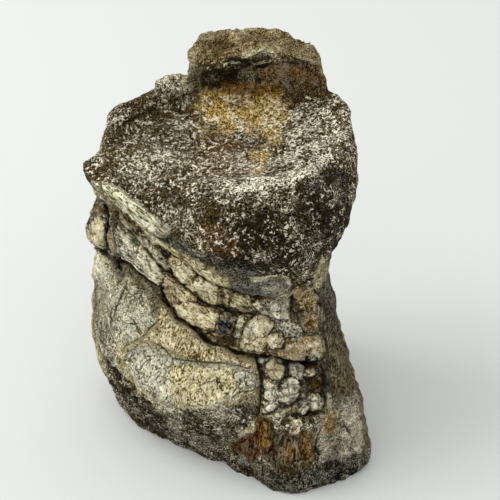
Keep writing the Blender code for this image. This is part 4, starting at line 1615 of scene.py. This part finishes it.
@dataclass(frozen=True)
class BoneFinish:
    """Mineralised bone: a fine spongy net or a granular, hair-cracked skin, over painted ground colours.

    Sizes are in millimetres, and the pit depth is in metres. A span's numbers are where it begins and ends,
    and its values there.
    """

    net_size: float = 1.25
    net_bend: tuple[float, float] = (1.2, 1.0)
    net_strut: Span = (0.05, 0.16, 1.0, 0.0)
    worm_clouds: Clouds = Clouds(1 / 0.85, 1.0)
    worm_strut: Span = (0.02, 0.065, 1.0, 0.0)
    worm_least: float = 0.64
    net_patches: Clouds = Clouds(0.9, 3.0, 0.6)
    net_drift: Clouds = Clouds(0.2)
    net_drift_span: Span = (0.35, 0.65, 0.06, -0.06)
    net_limit: tuple[float, float] = (-0.34, 0.745)
    net_fade: tuple[float, float] = (0.08, 0.06)
    base_clouds: Clouds = Clouds(1 / 0.42, 3.0, 0.6)
    base_span: Span = (0.37, 0.63, -0.28, 0.56)
    grain_clouds: Clouds = Clouds(1 / 0.38, 3.0, 0.65)
    grain_span: Span = (0.28, 0.66, 0.08, 1.0)
    broad_clouds: Clouds = Clouds(0.28 / 0.38, 3.0, 0.7)
    broad_span: Span = (0.3, 0.7, -0.20, 0.24)
    pit_clouds: Clouds = Clouds(1.3)
    pit_span: Span = (0.60, 0.68, 0.0, 0.55)
    fibrous_from: tuple[float, float] = (0.60, 0.93)
    thread_clouds: Clouds = Clouds(1.5)
    thread_span: Span = (0.38, 0.58, -0.50, 0.15)
    brittle_from: tuple[float, float] = (0.50, 0.80)
    hair_nets: tuple[Hairs, Hairs] = (Hairs(3.8, 0.045, 0.75, 0.47), Hairs(1.7, 0.085, 0.45, 0.49))
    # Painted shade in hollows and painted highlight on raised relief: the level falls in hollows and rises
    # on lumps of the carved depth.
    relief_shade_span: Span = (-0.5, 0.5, 0.16, -0.16)
    tint_share: float = 0.5
    tint_clouds: Clouds = Clouds(0.42, 5.0, 0.72)
    tint_steps: tuple[float, float, float] = (0.34, 0.5, 0.66)
    cool_tint: tuple[float, float, float] = (0.49, 0.50, 0.515)
    warm_tint: tuple[float, float, float] = (0.57, 0.51, 0.34)
    net_white: tuple[float, float] = (0.50, 0.52)
    dark_until: tuple[float, float] = (0.08, 0.56)
    bright_from: tuple[float, float] = (0.54, 0.86)
    blotch_clouds: Clouds = Clouds(0.25, 4.0, 0.7)
    blotch_span: Span = (0.32, 0.68, 0.78, 1.25)
    # Painted shade and dirt in deep hollows: the dirt colour is laid where the carved depth is great.
    hollow_dirt_and_shade_from: tuple[float, float] = (0.5, 1.4)
    hollow_dirt_and_shade: float = 0.5
    rough_span: Span = (0.0, 1.0, 0.95, 0.65)
    chalk_colour: tuple[int, int, int] = (255, 246, 220)
    # Colour of the dirt and painted shade in cracks, gaps and deep hollows.
    dirt_and_shade_colour: tuple[int, int, int] = (30, 22, 10)
    # Colour of the pits: partly the pores' own dark, partly painted shade in the pores.
    pit_share: tuple[float, float, float] = (0.06, 0.045, 0.02)
    pit_depth: float = 0.0005
    sheen: float = 0.10

    def net_group(self) -> bpy.types.NodeTree:
        """Builds the group that draws the spongy net: a web of cells, laid over wavy struts.

        Returns:
            A group with Place and Density inputs and a Level output, 1 on a strut and 0 in a pore.
        """
        group = bpy.data.node_groups.new("spongy net", "ShaderNodeTree")
        group.interface.new_socket("Place", in_out="INPUT", socket_type="NodeSocketVector")
        group.interface.new_socket("Density", in_out="INPUT", socket_type="NodeSocketFloat")
        group.interface.new_socket("Level", in_out="OUTPUT", socket_type="NodeSocketFloat")
        graph = Graph(group)
        taken = group.nodes.new("NodeGroupInput")
        place, density = taken.outputs[0], taken.outputs[1]
        bent = graph.bent(place, *self.net_bend)
        cells = graph.node("TexVoronoi", feature="DISTANCE_TO_EDGE")
        graph.feed(cells.inputs["Vector"], bent)
        cells.inputs["Scale"].default_value = 1 / self.net_size
        web = graph.span(cells.outputs["Distance"], *self.net_strut)
        ridge = graph.math("ABSOLUTE", graph.math("SUBTRACT", graph.drift(bent, self.worm_clouds), 0.5))
        worm = graph.span(ridge, *self.worm_strut)
        drift = graph.span(graph.drift(place, self.net_drift), *self.net_drift_span)
        limit = graph.math("ADD", graph.math("MULTIPLY_ADD", density, *self.net_limit), drift)
        low = graph.math("SUBTRACT", limit, self.net_fade[0])
        high = graph.math("ADD", limit, self.net_fade[1])
        shown = graph.span(graph.drift(place, self.net_patches), low, high)
        kept = graph.math("MULTIPLY_ADD", shown, 1 - self.worm_least, self.worm_least)
        web = graph.math("MULTIPLY", web, shown)
        strut = graph.math("MAXIMUM", graph.math("MULTIPLY", worm, kept), web)
        base = graph.span(graph.drift(place, self.base_clouds), *self.base_span)
        level = graph.math("MAXIMUM", base, strut)
        graph.feed(group.nodes.new("NodeGroupOutput").inputs[0], level)
        return group

    def skin_level(self, graph: Graph, place: object, along: object, chalk: object) -> bpy.types.NodeSocket:
        """Draws the granular skin of the dense bone.

        Args:
            graph: The material's tree.
            place: Where on the bone, in millimetres.
            along: The way that the fibres run there, zero where the grain is even.
            chalk: How chalky the bone is there; only chalky bone has hair cracks.

        Returns:
            The skin's level, 0 in its hair cracks and 1 on its brightest grains.
        """
        spread = graph.node("VectorMath", operation="DOT_PRODUCT")
        graph.feed(spread.inputs[0], place)
        graph.feed(spread.inputs[1], along)
        drawn = graph.node("VectorMath", operation="SCALE")
        graph.feed(drawn.inputs[0], along)
        graph.feed(drawn.inputs["Scale"], spread.outputs["Value"])
        fibrous = graph.node("VectorMath", operation="SUBTRACT")
        graph.feed(fibrous.inputs[0], place)
        graph.feed(fibrous.inputs[1], drawn.outputs[0])
        grain = graph.span(graph.drift(fibrous.outputs[0], self.grain_clouds), *self.grain_span)
        broad = graph.span(graph.drift(fibrous.outputs[0], self.broad_clouds), *self.broad_span)
        pits = graph.span(graph.drift(place, self.pit_clouds), *self.pit_span)
        level = graph.math("SUBTRACT", graph.math("ADD", grain, broad), pits)
        strength = graph.node("VectorMath", operation="LENGTH")
        graph.feed(strength.inputs[0], along)
        drawn_out = graph.span(strength.outputs["Value"], *self.fibrous_from)
        threads = graph.span(graph.drift(fibrous.outputs[0], self.thread_clouds), *self.thread_span)
        level = graph.math("ADD", level, graph.math("MULTIPLY", threads, drawn_out))
        brittle = graph.span(chalk, *self.brittle_from)
        for hairs in self.hair_nets:
            cells = graph.node("TexVoronoi", feature="DISTANCE_TO_EDGE")
            graph.feed(cells.inputs["Vector"], graph.bent(place, 2.0 / hairs.size, 0.35 * hairs.size))
            cells.inputs["Scale"].default_value = 1 / hairs.size
            distance = cells.outputs["Distance"]
            hair = graph.span(distance, 0.3 * hairs.width, hairs.width, hairs.strength, 0.0)
            gate = graph.drift(place, Clouds(0.8 / hairs.size))
            gate = graph.math("MULTIPLY", graph.span(gate, hairs.gate, hairs.gate + 0.14), brittle)
            level = graph.math("SUBTRACT", level, graph.math("MULTIPLY", hair, gate), clamp=True)
        return level

    def colour(self, graph: Graph, place: object, level: object) -> bpy.types.NodeSocket:
        """Colours the bone from its pits to its bright specks, with painted shade in its pits and hollows,
        and lays dirt and painted shade on it.

        Args:
            graph: The material's tree.
            place: Where on the bone, in millimetres.
            level: The pattern's level there, 0 in a pit and 1 on a bright speck.

        Returns:
            The surface's colour.
        """
        ground = graph.node("Attribute", attribute_name="ground").outputs["Color"]
        chalk = graph.value("chalk")
        tinted = graph.mix(self.tint_share, ground, self.tint(graph, place), "OVERLAY")
        # Dark pit colour: partly the pores' own dark, partly painted shade in the pores.
        pit = graph.mix(1.0, tinted, (*self.pit_share, 1), "MULTIPLY")
        deep = graph.mix(graph.value("contrast"), tinted, pit)
        whiter = graph.math("MULTIPLY_ADD", chalk, *self.net_white)
        white = graph.blend(graph.value("spongy"), chalk, whiter)
        bright = graph.mix(white, tinted, (*srgb(*self.chalk_colour), 1))
        low = graph.mix(graph.span(level, *self.dark_until), deep, tinted)
        even = graph.mix(graph.span(level, *self.bright_from), low, bright)
        shaded = graph.node("VectorMath", operation="SCALE")
        graph.feed(shaded.inputs[0], even)
        blotch = graph.span(graph.drift(place, self.blotch_clouds), *self.blotch_span)
        graph.feed(shaded.inputs["Scale"], blotch)
        dirt_and_shade = (*srgb(*self.dirt_and_shade_colour), 1)
        # Painted shade and dirt in deep hollows, darkened towards the dirt colour.
        hidden = graph.span(graph.value("hollow"), *self.hollow_dirt_and_shade_from)
        hollow_darkened = graph.mix(graph.math("MULTIPLY", hidden, self.hollow_dirt_and_shade), shaded.outputs[0], dirt_and_shade)
        # Dirt and painted shade in the cracks, splits and gaps, from the crack value.
        return graph.mix(graph.value("crack"), hollow_darkened, dirt_and_shade)

    def tint(self, graph: Graph, place: object) -> bpy.types.NodeSocket:
        """Makes a drift of colour over the bone.

        Args:
            graph: The material's tree.
            place: Where on the bone, in millimetres.

        Returns:
            A colour from cool grey through neutral to warm brown.
        """
        low, middle, high = self.tint_steps
        drift = graph.drift(place, self.tint_clouds)
        cool = graph.mix(graph.span(drift, low, middle), (*self.cool_tint, 1), (0.5, 0.5, 0.5, 1))
        return graph.mix(graph.span(drift, middle, high), cool, (*self.warm_tint, 1))

    def make(self) -> bpy.types.Material:
        """Builds the material.

        Returns:
            The material.
        """
        material = bpy.data.materials.new("fossil bone")
        material.use_nodes = True
        graph = Graph(material.node_tree)
        surface = material.node_tree.nodes["Principled BSDF"]
        place = graph.scaled(graph.node("TexCoord").outputs["Object"], (1 / MM, 1 / MM, 1 / MM))
        chalk = graph.value("chalk")
        net = graph.node("Group", node_tree=self.net_group())
        graph.feed(net.inputs["Place"], place)
        graph.feed(net.inputs["Density"], chalk)
        along = graph.node("Attribute", attribute_name="along").outputs["Vector"]
        skin = self.skin_level(graph, place, along, chalk)
        pattern = graph.blend(graph.value("spongy"), skin, net.outputs[0])
        # Painted shade in hollows and painted highlight on raised relief, added to the level, which also
        # drives the bump and roughness.
        relief_shade = graph.span(graph.value("hollow"), *self.relief_shade_span)
        level = graph.math("ADD", pattern, relief_shade, clamp=True)
        graph.feed(surface.inputs["Base Color"], self.colour(graph, place, level))
        graph.feed(surface.inputs["Roughness"], graph.span(level, *self.rough_span))
        surface.inputs["Specular IOR Level"].default_value = self.sheen
        bump = graph.node("Bump")
        bump.inputs["Strength"].default_value = 1.0
        bump.inputs["Distance"].default_value = self.pit_depth
        graph.feed(bump.inputs["Height"], level)
        graph.feed(surface.inputs["Normal"], bump.outputs[0])
        return material


@dataclass(frozen=True)
class Studio:
    """The plain pale floor and the soft light from the upper left."""

    floor_colour: tuple[int, int, int] = (219, 220, 218)
    floor_width: float = 12.0
    floor_roughness: float = 0.9
    sky_colour: tuple[float, float, float] = (0.93, 0.95, 0.94)
    sky: float = 0.94
    key_place: tuple[float, float, float] = (-0.60, 0.05, 0.75)
    key_size: float = 0.55
    key_power: float = 4.3
    key_aim: tuple[float, float, float] = (0.0, 0.0, 0.06)

    def build(self) -> None:
        """Makes the floor, the world and the lights."""
        bpy.ops.object.select_all(action="DESELECT")
        bpy.ops.mesh.primitive_plane_add(size=self.floor_width)
        floor = bpy.context.active_object
        floor.name = "floor"
        material = bpy.data.materials.new("pale floor")
        material.use_nodes = True
        surface = material.node_tree.nodes["Principled BSDF"]
        surface.inputs["Base Color"].default_value = (*srgb(*self.floor_colour), 1)
        surface.inputs["Roughness"].default_value = self.floor_roughness
        floor.data.materials.append(material)
        world = bpy.data.worlds.new("studio")
        world.use_nodes = True
        back = world.node_tree.nodes["Background"]
        back.inputs["Color"].default_value = (*self.sky_colour, 1)
        back.inputs["Strength"].default_value = self.sky
        bpy.context.scene.world = world
        light = bpy.data.lights.new("key", "AREA")
        light.size = self.key_size
        light.energy = self.key_power
        key = bpy.data.objects.new("key", light)
        bpy.context.scene.collection.objects.link(key)
        key.location = self.key_place
        key.rotation_euler = (Vector(self.key_aim) - key.location).to_track_quat("-Z", "Y").to_euler()
        bpy.context.scene.view_settings.view_transform = "Standard"


def corners(box: tuple[Vector, Vector]) -> list[list[float]]:
    """Returns a box as two plain lists of numbers."""
    return [[float(value) for value in corner] for corner in box]


def main() -> None:
    """Builds the piece, its finish and the studio."""
    view = Viewpoint()
    view.make_camera()
    fossil = Fossil(view)
    bone = fossil.build()
    bone.data.materials.append(BoneFinish().make())
    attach(bone, "root")
    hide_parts(NODE)
    LOG.info("fossil_bone has %d triangles", len(bone.data.polygons))
    Studio().build()
    LOG.info("studio is lit")


if __name__ == "__main__":
    logging.basicConfig(level=logging.INFO, format="%(name)s %(relativeCreated)d ms: %(message)s")
    main()
